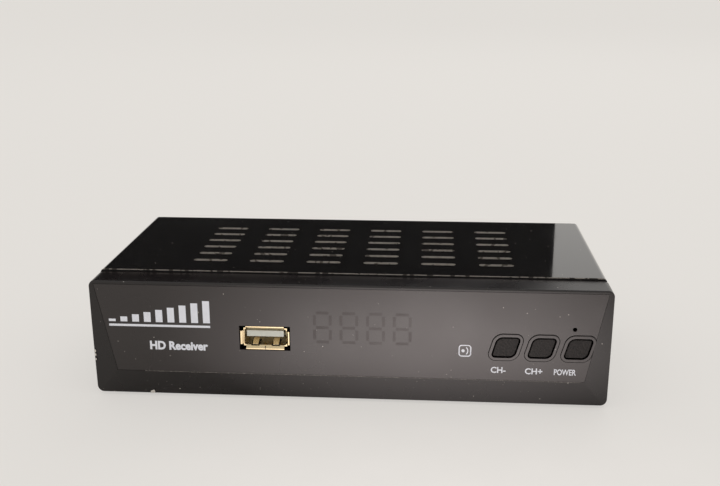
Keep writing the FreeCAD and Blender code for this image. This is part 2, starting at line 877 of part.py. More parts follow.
def make_top_cover():
    body = new_body("top_cover")
    section = new_sketch(body, "XZ", cover_front_y)
    draw_outline(section, [
        (-cover_half, chassis_under), (-cover_inner, chassis_under), (-cover_inner, cover_under),
        (cover_inner, cover_under), (cover_inner, chassis_under), (cover_half, chassis_under),
        (cover_half, cover_top), (-cover_half, cover_top),
    ])
    pad(body, section, cover_bend_y - cover_front_y, 1)
    outer = edges_along(body, Y, lambda point: abs(point.z - cover_top.value) < TINY)
    round_edges(body, outer, dim.cover_bend)
    inner = edges_along(body, Y, lambda point: abs(point.z - cover_under.value) < TINY)
    round_edges(body, inner, dim.cover_bend - dim.cover_sheet)
    add_cover_flange(body)
    add_top_slots(body)
    add_side_vents(body)
    add_side_screw_holes(body, dim.cover_screw_shank + dim.hole_gap)
    add_rear_screw_holes(body, rear_y, dim.cover_screw_shank + dim.hole_gap)
    return body


def cut_rear_wall(body):
    holes = new_sketch(body, "XZ", wall_out_y)
    for x in (lnb_x, antenna_x):
        draw_circle(holes, (x, aerial_z), dim.barrel_radius + dim.aerial_hole_gap)
    for x in (av_x, data_x):
        draw_circle(holes, (x, jack_z), dim.jack_nose + dim.hole_gap)
    video_room = (dim.video_flare + dim.hole_gap) * 2
    draw_rectangle(holes, about(dim.video_place, dim.video_width + video_room), about(video_z, dim.video_height + video_room))
    dc_middle = board_top + dim.dc_height / 2
    dc_room = dim.hole_gap * 2
    draw_rectangle(holes, about(dc_x, dim.dc_width + dc_room), about(dc_middle, dim.dc_height + dc_room))
    pocket(body, holes, dim.chassis_sheet * 2, -1)


def make_bottom_chassis():
    body = new_body("bottom_chassis")
    base = new_sketch(body, "XY", chassis_under)
    draw_rectangle(base, (-chassis_half, chassis_half), (cover_front_y, wall_out_y))
    pad(body, base, dim.chassis_sheet, 1)
    wall = new_sketch(body, "XZ", wall_out_y)
    draw_rectangle(wall, (-chassis_half, chassis_half), (chassis_under, wall_top))
    pad(body, wall, dim.chassis_sheet, -1)
    flanges = new_sketch(body, "XY", chassis_under)
    for side in (-1, 1):
        edges = (chassis_half * side, (chassis_half - dim.chassis_sheet) * side)
        draw_rectangle(flanges, edges, (tongue_y + dim.hole_gap, wall_out_y))
    pad(body, flanges, dim.chassis_flange, 1)
    cut_rear_wall(body)
    add_rear_screw_holes(body, wall_out_y, dim.cover_screw_shank + dim.thread_gap)
    add_side_screw_holes(body, dim.cover_screw_shank + dim.thread_gap)
    bezel_holes = new_sketch(body, "XY", chassis_floor)
    for side in (-1, 1):
        draw_circle(bezel_holes, (bezel_screw_x * side, bezel_screw_y), dim.bezel_screw_shank + dim.hole_gap)
    pocket(body, bezel_holes, dim.chassis_sheet * 2, -1)
    vents = new_sketch(body, "XY", chassis_floor)
    for side in (-1, 1):
        centre = (dim.base_vent_length * side, front_y + dim.base_vent_first)
        draw_slot(vents, centre, dim.base_vent_length, dim.slot_width)
    cuts = pocket(body, vents, dim.chassis_sheet * 2, -1)
    repeat(body, cuts, vents, "V_Axis", dim.base_vent_pitch, BASE_VENTS)
    return body


def make_feet():
    feet = []
    for row_name, y in (("front", front_y + dim.foot_front), ("rear", front_y + dim.foot_rear)):
        for side_name, side in (("left", -1), ("right", 1)):
            foot = doc.addObject("Part::Cone", f"foot_{row_name}_{side_name}")
            bind(foot, "Radius1", dim.foot_radius - dim.foot_taper)
            bind(foot, "Radius2", dim.foot_radius)
            bind(foot, "Height", chassis_under)
            feet.append(place_at(foot, foot_x * side, y, as_size(0)))
    return feet


# Fasteners

def make_screw_form(name, head_radius, head_height, shank_radius, shank_length):
    """A screw with its head above the origin and its shank along -Z."""
    origin = (as_size(0), as_size(0), as_size(0))
    head = make_rod(f"{name}_head", head_radius, head_height, origin, "+z")
    shank = make_rod(f"{name}_shank", shank_radius, shank_length, origin, "-z")
    floor = head_height * (as_size(1) - dim.recess_share)
    depth = (floor, head_height + cut_margin)
    long = about(0, head_radius)
    narrow = about(0, dim.recess_width)
    cross = [make_block(f"{name}_recess", long, narrow, depth), make_block(f"{name}_recess", narrow, long, depth)]
    return cut(f"{name}_form", fuse(f"{name}_solid", [head, shank]), [fuse(f"{name}_cross", cross)])


def make_cover_screws():
    form = make_screw_form(
        "cover_screw", dim.cover_screw_head, dim.cover_screw_head_height,
        dim.cover_screw_shank, dim.cover_screw_length)
    places = [(x, rear_y, cover_screw_z, "+y") for x in rear_screw_places()]
    places.append((cover_half, side_screw_y, side_screw_z, "+x"))
    places.append((-cover_half, side_screw_y, side_screw_z, "-x"))
    return copies("cover_screws", form, places)


def make_bezel_screws():
    form = make_screw_form(
        "bezel_screw", dim.bezel_screw_head, dim.bezel_screw_head_height,
        dim.bezel_screw_shank, dim.bezel_screw_length)
    places = [(bezel_screw_x * side, bezel_screw_y, chassis_under, "-z") for side in (-1, 1)]
    return copies("bezel_screws", form, places)


def make_front_board_screws():
    form = make_screw_form(
        "front_screw", dim.bezel_screw_head, dim.bezel_screw_head_height,
        dim.bezel_screw_shank, dim.front_screw_length)
    return copies("front_board_screws", form, [(x, front_board_back_y, z, "+y") for x, z in front_board_holes])


def make_board_screws():
    form = make_screw_form(
        "board_screw", dim.board_screw_head, dim.board_screw_head_height,
        dim.board_screw_shank, dim.board_screw_length)
    return copies("board_screws", form, [(x, y, board_top, "+z") for x, y in main_board_holes])


def make_board_standoffs():
    form = new_body("standoff_form")
    half = dim.standoff_across / 2
    corner = half * (2 / math.sqrt(3))
    face = new_sketch(form, "XY", 0)
    draw_outline(face, [
        (corner, 0), (corner / 2, half), (-corner / 2, half),
        (-corner, 0), (-corner / 2, -half), (corner / 2, -half),
    ])
    draw_circle(face, (0, 0), dim.board_screw_shank + dim.thread_gap)
    pad(form, face, dim.standoff_height, 1)
    return copies("board_standoffs", form, [(x, y, chassis_floor, "+z") for x, y in main_board_holes])


# Buttons and switches

def make_button(name, centre_x):
    """A cap with its retaining flange and the stem that meets the switch."""
    front = front_y - dim.button_proud
    flange_y = plate_back_y + dim.button_stop_gap
    stem_y = flange_y + dim.button_flange_thickness
    body = make_leaning_prism(
        f"{name}_button", centre_x, dim.button_width, dim.button_height,
        dim.button_wide_corner, dim.button_tight_corner, front, flange_y,
    )
    round_edges(body, edges_at(body, Y, front), dim.button_edge)
    flange = new_sketch(body, "XZ", flange_y)
    width = dim.button_width + dim.button_height * dim.button_lean + dim.button_flange_grow
    height = dim.button_height + dim.button_flange_grow * 2
    draw_rectangle(flange, about(centre_x, width), about(button_z, height))
    pad(body, flange, dim.button_flange_thickness, 1)
    stem = new_sketch(body, "XZ", stem_y)
    draw_circle(stem, (centre_x, button_z), dim.stem_radius)
    pad(body, stem, front_board_y - dim.switch_depth - dim.plunger_reach - stem_y, 1)
    return body


def make_switch(name, centre_x):
    switch_y = front_board_y - dim.switch_depth
    cavity_y = switch_y + dim.switch_face
    hole_radius = dim.plunger_radius + dim.plunger_gap
    cavity_radius = dim.plunger_radius + dim.collar_grow + dim.plunger_gap
    housing = make_block(
        f"{name}_housing", about(centre_x, dim.switch_side), (switch_y, front_board_y), about(button_z, dim.switch_side))
    hole = make_rod(
        f"{name}_switch_hole", hole_radius, dim.switch_face + cut_margin,
        (centre_x, switch_y - cut_margin, button_z), "+y")
    cavity = make_rod(
        f"{name}_switch_cavity", cavity_radius, dim.cavity_depth, (centre_x, cavity_y, button_z), "+y")
    return cut(f"{name}_switch", housing, [fuse(f"{name}_switch_room", [hole, cavity])])


def make_plunger(name, centre_x):
    front = front_board_y - dim.switch_depth - dim.plunger_reach
    collar_y = front + dim.plunger_reach + dim.switch_face + dim.plunger_gap
    stem = make_rod(
        f"{name}_plunger_stem", dim.plunger_radius, collar_y - front, (centre_x, front, button_z), "+y")
    collar = make_rod(
        f"{name}_plunger_collar", dim.plunger_radius + dim.collar_grow, dim.collar_thickness,
        (centre_x, collar_y, button_z), "+y")
    return fuse(f"{name}_plunger", [stem, collar])


# Boards

def make_board(name, plane, offset, across, up, holes, hole_radius):
    body = new_body(name)
    face = new_sketch(body, plane, offset)
    draw_rectangle(face, across, up)
    for centre in holes:
        draw_circle(face, centre, hole_radius)
    pad(body, face, dim.board_thickness, 1)
    return body


def make_front_board():
    return make_board(
        "front_board", "XZ", front_board_y, (dim.front_board_left, front_board_right),
        (bezel_bottom + dim.front_board_bottom, bezel_bottom + dim.front_board_top),
        front_board_holes, dim.bezel_screw_shank + dim.hole_gap)


def make_main_board():
    return make_board(
        "main_board", "XY", board_under, (-main_board_half, main_board_half),
        (main_front_y, main_rear_y), main_board_holes, dim.board_screw_shank + dim.hole_gap)


def make_board_link():
    """A right-angled pin strip between the two boards."""
    strip_end_y = front_board_back_y + dim.header_side
    length = dim.header_pitch * HEADER_PINS
    solids = [make_block(
        "link_strip", about(dim.display_place, length), (front_board_back_y, strip_end_y),
        (board_top, board_top + dim.header_side))]
    for pin in range(HEADER_PINS):
        x = dim.display_place + dim.header_pitch * (pin - (HEADER_PINS - 1) / 2)
        solids.append(make_block(
            "link_pin", about(x, dim.header_pin), (strip_end_y - dim.header_pin, strip_end_y + dim.header_pin_reach),
            about(board_top + dim.header_side / 2, dim.header_pin)))
    return fuse("board_link_header", solids)


# Sockets with a flared sheet shell

def flap_strip(mouth_y, into, edge, side, flare, depth, thickness, upright):
    """One flared lip of a shell, as a slanted strip from the shell's edge to the mouth."""
    root_y = mouth_y + depth * into
    strip = [
        (root_y, (edge - thickness) * side), (root_y, edge * side),
        (mouth_y, (edge + flare) * side), (mouth_y, (edge + flare - thickness) * side),
    ]
    return [(y, across) if upright else (across, y) for y, across in strip]


def add_flaps(body, centre, mouth_y, into, half_size, flare, depth, thickness, flap_sizes):
    centre_x, centre_z = centre
    half_width, half_height = half_size
    flap_width, flap_height = flap_sizes
    for side in (-1, 1):
        strip = flap_strip(mouth_y, into, half_height, side, flare, depth, thickness, True)
        profile = new_sketch(body, "YZ", centre_x)
        draw_outline(profile, [(y, centre_z + z) for y, z in strip])
        pad(body, profile, flap_width)
        strip = flap_strip(mouth_y, into, half_width, side, flare, depth, thickness, False)
        profile = new_sketch(body, "XY", centre_z)
        draw_outline(profile, [(centre_x + x, y) for x, y in strip])
        pad(body, profile, flap_height)


def make_usb_shell():
    body = new_body("usb_shell")
    mouth_y = front_y + dim.usb_set_back
    root_y = mouth_y + dim.usb_flare_depth
    outer = new_sketch(body, "XZ", root_y)
    draw_rectangle(outer, about(dim.usb_place, dim.usb_shell_width), about(usb_z, dim.usb_shell_height))
    pad(body, outer, front_board_y - root_y, 1)
    inner = new_sketch(body, "XZ", root_y)
    wall = dim.shell_sheet * 2
    draw_rectangle(
        inner, about(dim.usb_place, dim.usb_shell_width - wall), about(usb_z, dim.usb_shell_height - wall))
    pocket(body, inner, front_board_y - root_y, 1)
    add_flaps(
        body, (dim.usb_place, usb_z), mouth_y, 1, (dim.usb_shell_width / 2, dim.usb_shell_height / 2),
        dim.usb_flare, dim.usb_flare_depth, dim.shell_sheet, (dim.usb_flap_width, dim.usb_side_flap_height))
    return body


def usb_tongue_height():
    return about(usb_z + dim.usb_tongue_rise, dim.usb_tongue_thickness)


def make_usb_tongue():
    base_y = front_board_y - dim.usb_base_depth
    room = (dim.shell_sheet + dim.fit_gap / 2) * 2
    tongue = make_block(
        "usb_tongue_blade", about(dim.usb_place, dim.usb_tongue_width),
        (front_y + dim.usb_tongue_set_back, front_board_y), usb_tongue_height())
    base = make_block(
        "usb_tongue_base", about(dim.usb_place, dim.usb_shell_width - room), (base_y, front_board_y),
        about(usb_z, dim.usb_shell_height - room))
    return fuse("usb_tongue", [tongue, base])


def make_usb_contacts():
    top = usb_tongue_height()[0]
    strips = []
    for side in (-1, 1):
        for place in (dim.contact_inner_place, dim.contact_outer_place):
            strips.append(make_block(
                "usb_contact", about(dim.usb_place + place * side, dim.contact_width),
                (front_y + dim.usb_tongue_set_back + dim.contact_width, front_board_y - dim.usb_base_depth),
                (top - dim.contact_thickness, top)))
    return group("usb_contacts", strips)


def video_outline(grow):
    """The mouth's outline: a rectangle with its two lower corners cut."""
    left, right = about(dim.video_place, dim.video_width + grow * 2)
    low, high = about(video_z, dim.video_height + grow * 2)
    corner = dim.video_chamfer
    return [
        (left + corner, low), (right - corner, low), (right, low + corner),
        (right, high), (left, high), (left, low + corner),
    ]


def make_video_shell():
    body = new_body("video_shell")
    mouth_y = wall_out_y + dim.video_proud
    root_y = mouth_y - dim.video_flare_depth
    outer = new_sketch(body, "XZ", root_y)
    draw_outline(outer, video_outline(as_size(0)))
    pad(body, outer, dim.video_depth, -1)
    inner = new_sketch(body, "XZ", root_y)
    draw_outline(inner, video_outline(-dim.video_sheet))
    pocket(body, inner, dim.video_depth, -1)
    add_flaps(
        body, (dim.video_place, video_z), mouth_y, -1, (dim.video_width / 2, dim.video_height / 2),
        dim.video_flare, dim.video_flare_depth, dim.video_sheet, (dim.video_flap_width, dim.video_side_flap_height))
    return body


def make_video_tongue():
    mouth_y = wall_out_y + dim.video_proud
    back_y = mouth_y - dim.video_flare_depth - dim.video_depth
    body = new_body("video_tongue")
    base = new_sketch(body, "XZ", back_y)
    draw_outline(base, video_outline(-dim.video_sheet - dim.fit_gap / 2))
    pad(body, base, dim.video_base_depth, 1)
    blade = new_sketch(body, "XZ", back_y)
    draw_rectangle(blade, about(dim.video_place, dim.video_tongue_width), about(video_z, dim.video_tongue_thickness))
    pad(body, blade, mouth_y - dim.video_tongue_set_back - back_y, 1)
    return body


# Round sockets

def make_jack(name, centre_x):
    """A 3.5 mm socket: a block on the board, a round nose and a blind bore."""
    block_y = wall_in_y - dim.fit_gap
    mouth_y = wall_out_y + dim.jack_proud
    block = make_block(
        f"{name}_block", about(centre_x, dim.jack_width), (block_y - dim.jack_depth, block_y),
        (board_top, board_top + dim.jack_height))
    nose = make_rod(f"{name}_nose", dim.jack_nose, mouth_y - block_y, (centre_x, block_y, jack_z), "+y")
    bore = make_rod(
        f"{name}_bore", dim.jack_bore, dim.jack_bore_depth,
        (centre_x, mouth_y - dim.jack_bore_depth, jack_z), "+y")
    return cut(name, fuse(f"{name}_solid", [block, nose]), [bore])


def make_dc_jack():
    mouth_y = wall_out_y + dim.dc_proud
    block = make_block(
        "dc_block", about(dc_x, dim.dc_width), (mouth_y - dim.dc_depth, mouth_y),
        (board_top, board_top + dim.dc_height))
    bore = make_rod(
        "dc_bore", dim.dc_bore, dim.dc_bore_depth, (dc_x, mouth_y - dim.dc_bore_depth, dc_z), "+y")
    return cut("dc_jack", block, [bore])


def make_dc_pin():
    start_y = wall_out_y + dim.dc_proud - dim.dc_bore_depth
    length = dim.dc_bore_depth - dim.dc_pin_set_back
    return make_rod("dc_pin", dim.dc_pin, length, (dc_x, start_y, dc_z), "+y")


def make_tuner_can():
    rear = wall_in_y - dim.tuner_wall_gap
    wall = dim.tuner_sheet
    outer = make_block(
        "tuner_outer", about(tuner_x, dim.tuner_width), (rear - dim.tuner_depth, rear),
        (board_top, board_top + dim.tuner_height))
    inner = make_block(
        "tuner_inner", about(tuner_x, dim.tuner_width - wall * 2), (rear - dim.tuner_depth + wall, rear - wall),
        (board_top - cut_margin, board_top + dim.tuner_height + cut_margin))
    return cut("tuner_can", outer, [inner])


def make_tuner_lid():
    rear = wall_in_y - dim.tuner_wall_gap
    wall = dim.tuner_sheet
    top = board_top + dim.tuner_height
    plate = make_block(
        "lid_plate", about(tuner_x, dim.tuner_width), (rear - dim.tuner_depth, rear), (top, top + wall))
    inner_x = about(tuner_x, dim.tuner_width - wall * 2 - dim.fit_gap)
    skirt_y = (rear - dim.tuner_depth + wall + dim.fit_gap / 2, rear - wall - dim.fit_gap / 2)
    skirt_z = (top - dim.tuner_lid_skirt, top)
    skirt = make_block("lid_skirt", inner_x, skirt_y, skirt_z)
    room = make_block(
        "lid_room", (inner_x[0] + wall, inner_x[1] - wall), (skirt_y[0] + wall, skirt_y[1] - wall),
        (skirt_z[0] - cut_margin, top))
    return cut("tuner_lid", fuse("lid_solid", [plate, skirt]), [room])


def make_aerial_socket(name, centre_x):
    start_y = wall_in_y - dim.tuner_wall_gap
    length = rear_y + dim.barrel_reach - start_y
    start = (centre_x, start_y, aerial_z)
    barrel = make_rod(f"{name}_barrel", dim.barrel_radius, length, start, "+y")
    bore = make_rod(f"{name}_bore", dim.barrel_bore, length, start, "+y")
    return cut(name, barrel, [bore])


def make_aerial_insulator(name, centre_x):
    start_y = wall_in_y - dim.tuner_wall_gap
    length = rear_y + dim.barrel_reach - start_y - dim.insulator_set_back
    start = (centre_x, start_y, aerial_z)
    plug = make_rod(f"{name}_plug", dim.barrel_bore - dim.fit_gap / 2, length, start, "+y")
    hole = make_rod(f"{name}_hole", dim.insulator_bore, length, start, "+y")
    return cut(name, plug, [hole])


# Display, receiver eye and lamp

def make_display():
    return make_block(
        "display_module", about(dim.display_place, dim.display_width),
        (front_board_y - dim.display_depth, front_board_y), about(display_z, dim.display_height))


def make_leads(name, xs, z, start_y):
    return [
        make_rod(f"{name}_lead", dim.lead_radius, front_board_y - start_y, (x, start_y, z), "+y") for x in xs
    ]


def make_ir_receiver():
    face_y = front_y + dim.eye_set_back
    back_y = face_y + dim.eye_depth
    case = make_block(
        "eye_case", about(dim.eye_place, dim.eye_side), (face_y, back_y), about(eye_z, dim.eye_side))
    dome = doc.addObject("Part::Sphere", "eye_dome")
    bind(dome, "Radius", dim.eye_radius)
    place_at(dome, dim.eye_place, face_y, eye_z)
    xs = [dim.eye_place + dim.lead_pitch * 2 * step for step in (-1, 0, 1)]
    return fuse("ir_receiver", [case, dome] + make_leads("eye", xs, eye_z, back_y - dim.lead_radius))


def make_standby_led():
    tip_y = plate_back_y + dim.fit_gap
    dome_y = tip_y + dim.lamp_radius
    rim_y = dome_y + dim.lamp_length
    dome = doc.addObject("Part::Sphere", "lamp_dome")
    bind(dome, "Radius", dim.lamp_radius)
    place_at(dome, lamp_x, dome_y, lamp_z)
    barrel = make_rod("lamp_barrel", dim.lamp_radius, dim.lamp_length, (lamp_x, dome_y, lamp_z), "+y")
    rim = make_rod(
        "lamp_rim", dim.lamp_radius + dim.lamp_rim, dim.lamp_rim_thickness,
        (lamp_x, rim_y - dim.lamp_rim_thickness, lamp_z), "+y")
    xs = [lamp_x + dim.lead_pitch * step / 2 for step in (-1, 1)]
    return fuse("standby_led", [dome, barrel, rim] + make_leads("lamp", xs, lamp_z, rim_y - dim.lead_radius))


# Parts on the main board

def make_heat_stack():
    """The processor, the pad on it and the finned heat sink."""
    chip_top = board_top + dim.chip_height
    pad_top = chip_top + dim.pad_height
    chip = make_block("processor", about(0, dim.chip_side), about(chip_y, dim.chip_side), (board_top, chip_top))
    soft_pad = make_block("thermal_pad", about(0, dim.pad_side), about(chip_y, dim.pad_side), (chip_top, pad_top))
    sink = new_body("heat_sink")
    base = new_sketch(sink, "XY", pad_top)
    draw_rectangle(base, about(0, dim.sink_side), about(chip_y, dim.sink_side))
    pad(sink, base, dim.sink_base, 1)
    fins = new_sketch(sink, "XY", pad_top + dim.sink_base)
    pitch = (dim.sink_side - dim.sink_fin) / (SINK_FINS - 1)
    for fin in range(SINK_FINS):
        x = pitch * (fin - (SINK_FINS - 1) / 2)
        draw_rectangle(fins, about(x, dim.sink_fin), about(chip_y, dim.sink_side))
    pad(sink, fins, dim.sink_fin_height, 1)
    return [chip, soft_pad, sink]


def make_memory_chip():
    return make_block(
        "memory_chip", about(memory_x, dim.memory_width), about(chip_y, dim.memory_depth),
        (board_top, board_top + dim.memory_height))


def make_flash_chip():
    y = front_y + dim.flash_forward
    reach = dim.flash_side + dim.flash_lead_reach * 2
    case = make_block(
        "flash_case", about(dim.flash_place, dim.flash_side), about(y, dim.flash_side),
        (board_top, board_top + dim.flash_height))
    leads = [
        make_block(
            "flash_lead", about(dim.flash_place, reach),
            about(y + dim.lead_pitch * step, dim.flash_lead_width), (board_top, board_top + dim.flash_lead_width / 2))
        for step in (-1.5, -0.5, 0.5, 1.5)
    ]
    return fuse("flash_chip", [case] + leads)


def make_crystal():
    body = new_body("crystal")
    face = new_sketch(body, "XY", board_top)
    draw_slot(face, (crystal_x, crystal_y), dim.crystal_length, dim.crystal_width)
    pad(body, face, dim.crystal_height, 1)
    round_edges(body, edges_at(body, Z, board_top + dim.crystal_height), dim.capacitor_edge)
    return body


def make_capacitors():
    form = new_body("capacitor_form")
    face = new_sketch(form, "XY", 0)
    draw_circle(face, (0, 0), dim.capacitor_radius)
    pad(form, face, dim.capacitor_height, 1)
    round_edges(form, edges_at(form, Z, dim.capacitor_height), dim.capacitor_edge)
    places = []
    for column, count in ((0, 2), (1, 2), (2, 1)):
        for row in range(count):
            x = capacitor_x + dim.capacitor_pitch * column
            y = front_y + dim.capacitor_forward + dim.capacitor_pitch * row
            places.append((x, y, board_top, "+z"))
    return copies("capacitors", form, places)


def make_power_inductors():
    form = new_body("inductor_form")
    face = new_sketch(form, "XY", 0)
    draw_rectangle(face, about(0, dim.inductor_side), about(0, dim.inductor_side))
    pad(form, face, dim.inductor_height, 1)
    round_edges(form, edges_along(form, Z), dim.inductor_corner)
    places = [
        (capacitor_x + dim.capacitor_pitch * column, front_y + dim.inductor_forward, board_top, "+z")
        for column in (0, 1)
    ]
    return copies("power_inductors", form, places)


def make_parts():
    parts = [make_front_bezel(), make_front_window(), make_top_cover(), make_bottom_chassis()]
    parts += make_feet()
    parts += [make_cover_screws(), make_bezel_screws(), make_front_board_screws(), make_board_screws()]
    parts.append(make_board_standoffs())
    for name, place in button_places.items():
        parts += [make_button(name, place), make_switch(name, place), make_plunger(name, place)]
    parts += [make_front_board(), make_main_board(), make_board_link()]
    parts += [make_usb_shell(), make_usb_tongue(), make_usb_contacts()]
    parts += [make_video_shell(), make_video_tongue()]
    parts += [make_jack("av_jack", av_x), make_jack("data_jack", data_x)]
    parts += [make_dc_jack(), make_dc_pin(), make_tuner_can(), make_tuner_lid()]
    for name, place in (("lnb", lnb_x), ("antenna", antenna_x)):
        parts += [make_aerial_socket(f"{name}_socket", place), make_aerial_insulator(f"{name}_insulator", place)]
    parts += [make_display(), make_ir_receiver(), make_standby_led()]
    parts += make_heat_stack()
    parts += [make_memory_chip(), make_flash_chip(), make_crystal(), make_capacitors(), make_power_inductors()]
    return parts


def check_document(parts):
    for feature in doc.Objects:
        if "Invalid" in feature.State or "Error" in feature.State:
            raise ValueError(f"{feature.Name} failed: {feature.State}")
    for part in parts:
        if part.Shape.isNull() or not part.Shape.isValid():
            raise ValueError(f"{part.Label} has no valid shape")


def write_parts(parts):
    os.makedirs("parts", exist_ok=True)
    for part in parts:
        part.Shape.exportStep(f"parts/{part.Label}.step")
        print(part.Label, len(part.Shape.Solids), round(part.Shape.Volume, 1))
    print(len(parts), "nodes")


receiver_parts = make_parts()
doc.recompute()
check_document(receiver_parts)
write_parts(receiver_parts)
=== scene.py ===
import math
import random

import bmesh
import bpy
from mathutils import Matrix, Vector


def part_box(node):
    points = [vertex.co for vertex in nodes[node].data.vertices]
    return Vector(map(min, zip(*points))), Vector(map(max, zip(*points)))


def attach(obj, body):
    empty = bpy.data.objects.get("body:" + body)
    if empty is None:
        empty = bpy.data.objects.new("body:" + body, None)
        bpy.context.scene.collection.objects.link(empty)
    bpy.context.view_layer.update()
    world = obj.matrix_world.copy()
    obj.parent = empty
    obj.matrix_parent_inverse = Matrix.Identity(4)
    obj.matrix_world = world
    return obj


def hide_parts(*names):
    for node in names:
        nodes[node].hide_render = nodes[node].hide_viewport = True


# Satellite receiver: gloss black steel case, moulded front with a smoked window. Sizes in mm, scene in metres.
mm = 0.001

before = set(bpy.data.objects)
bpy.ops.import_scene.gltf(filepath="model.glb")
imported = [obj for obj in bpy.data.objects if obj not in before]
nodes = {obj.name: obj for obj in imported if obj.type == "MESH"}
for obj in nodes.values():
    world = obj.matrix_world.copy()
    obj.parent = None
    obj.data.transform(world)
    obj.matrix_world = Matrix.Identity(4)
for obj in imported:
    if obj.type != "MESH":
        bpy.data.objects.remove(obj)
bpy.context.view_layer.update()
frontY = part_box("front_window")[0][1]
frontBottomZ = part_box("front_bezel")[0][2]
print("frame loaded,", len(nodes), "nodes")

# The camera: place in mm from the middle of the front's lower edge, turns in degrees
camera = {
    "place": (23.618, -264.548, 128.513),
    "yaw": 4.242,
    "pitch": 16.583,
    "roll": -0.196,
    "lens": 48.01,
    "sensor": 36.0,
    "clip": 0.01,
}


def makeCamera(v):
    yaw, pitch, roll = (math.radians(v[name]) for name in ("yaw", "pitch", "roll"))
    data = bpy.data.cameras.new("camera")
    data.sensor_width = v["sensor"]
    data.lens = v["lens"]
    data.clip_start = v["clip"]
    obj = bpy.data.objects.new("camera", data)
    bpy.context.collection.objects.link(obj)
    x, y, z = v["place"]
    place = Vector((x * mm, frontY + y * mm, frontBottomZ + z * mm))
    turn = Matrix.Rotation(yaw, 4, "Z") @ Matrix.Rotation(math.pi / 2 - pitch, 4, "X") @ Matrix.Rotation(roll, 4, "Z")
    obj.matrix_world = Matrix.Translation(place) @ turn
    bpy.context.scene.camera = obj


makeCamera(camera)


# Materials

def toLinear(hexColour, alpha=1.0):
    parts = [int(hexColour[i:i + 2], 16) / 255 for i in (1, 3, 5)]
    linear = [part / 12.92 if part <= 0.04045 else ((part + 0.055) / 1.055) ** 2.4 for part in parts]
    return (*linear, alpha)


# Adds a node; an input is a plain value or another node's output
def addNode(tree, kind, settings=None, inputs=None):
    node = tree.nodes.new(kind)
    for name, value in (settings or {}).items():
        setattr(node, name, value)
    for name, value in (inputs or {}).items():
        if isinstance(value, bpy.types.NodeSocket):
            tree.links.new(value, node.inputs[name])
        else:
            node.inputs[name].default_value = value
    return node


# Mixes two colours, each a node's output or a hex colour
def mixColours(tree, share, first, second):
    node = addNode(tree, "ShaderNodeMix", {"data_type": "RGBA"})
    sockets = [socket for socket in node.inputs if socket.type == "RGBA"]
    tree.links.new(share, node.inputs[0])
    for socket, value in zip(sockets, (first, second)):
        if isinstance(value, str):
            socket.default_value = toLinear(value)
        else:
            tree.links.new(value, socket)
    return next(socket for socket in node.outputs if socket.type == "RGBA")


# A noise texture; its size is in mm
def addNoise(tree, place, sizeMm, detail):
    return addNode(tree, "ShaderNodeTexNoise", inputs={
        "Vector": place, "Scale": 1 / (sizeMm * mm), "Detail": detail}).outputs["Fac"]


# Spreads the values between two limits over 0 to 1, or over the range given
def spreadRange(tree, value, limits, reach=(0.0, 1.0)):
    return addNode(tree, "ShaderNodeMapRange", inputs={
        "Value": value, "From Min": limits[0], "From Max": limits[1], "To Min": reach[0],
        "To Max": reach[1]}).outputs["Result"]


glossLimits = (0.3, 0.7)
sharpLimits = (0.42, 0.58)
dustFade = 0.02
leastRoughness = 0.02
coatRoughness = 0.04


# A surface with cloudy colour and gloss, and a fine grain in relief. Where asked it has brush lines, specks of
# dust, or another colour below a height.
def makeFinish(name, colour, second, roughness, spread=0.06, metallic=0.0, coat=0.0, cloudMm=12.0, grainMm=0.35,
               bump=0.08, bumpMm=0.02, brushed=None, dust=None, ior=1.5, sharp=False, below=None):
    material = bpy.data.materials.new(name)
    material.use_nodes = True
    tree = material.node_tree
    shader = tree.nodes["Principled BSDF"]
    place = addNode(tree, "ShaderNodeTexCoord").outputs["Object"]
    if brushed:
        place = addNode(tree, "ShaderNodeMapping", inputs={"Vector": place, "Scale": brushed}).outputs["Vector"]
    cloud = addNoise(tree, place, cloudMm, 4.0)
    grain = addNoise(tree, place, grainMm, 2.0)
    share = spreadRange(tree, cloud, sharpLimits) if sharp else cloud
    result = mixColours(tree, share, colour, second)
    if dust:
        specks = addNoise(tree, place, dust["sizeMm"], 1.0)
        some = spreadRange(tree, specks, (dust["limit"], dust["limit"] + dustFade))
        result = mixColours(tree, some, result, dust["colour"])
    if below:
        height = addNode(tree, "ShaderNodeSeparateXYZ", inputs={"Vector": place}).outputs["Z"]
        under = addNode(tree, "ShaderNodeMath", {"operation": "LESS_THAN"}, {0: height, 1: below["height"]})
        result = mixColours(tree, under.outputs[0], result, below["colour"])
    tree.links.new(result, shader.inputs["Base Color"])
    gloss = spreadRange(tree, cloud, glossLimits, (max(roughness - spread, leastRoughness), roughness + spread))
    tree.links.new(gloss, shader.inputs["Roughness"])
    relief = addNode(tree, "ShaderNodeBump", inputs={"Height": grain, "Strength": bump, "Distance": bumpMm * mm})
    tree.links.new(relief.outputs["Normal"], shader.inputs["Normal"])
    shader.inputs["Metallic"].default_value = metallic
    shader.inputs["Coat Weight"].default_value = coat
    shader.inputs["Coat Roughness"].default_value = coatRoughness
    if not metallic:
        shader.inputs["IOR"].default_value = ior
    return material


paleDust = {"sizeMm": 0.8, "limit": 0.8, "colour": "#b5afa9"}

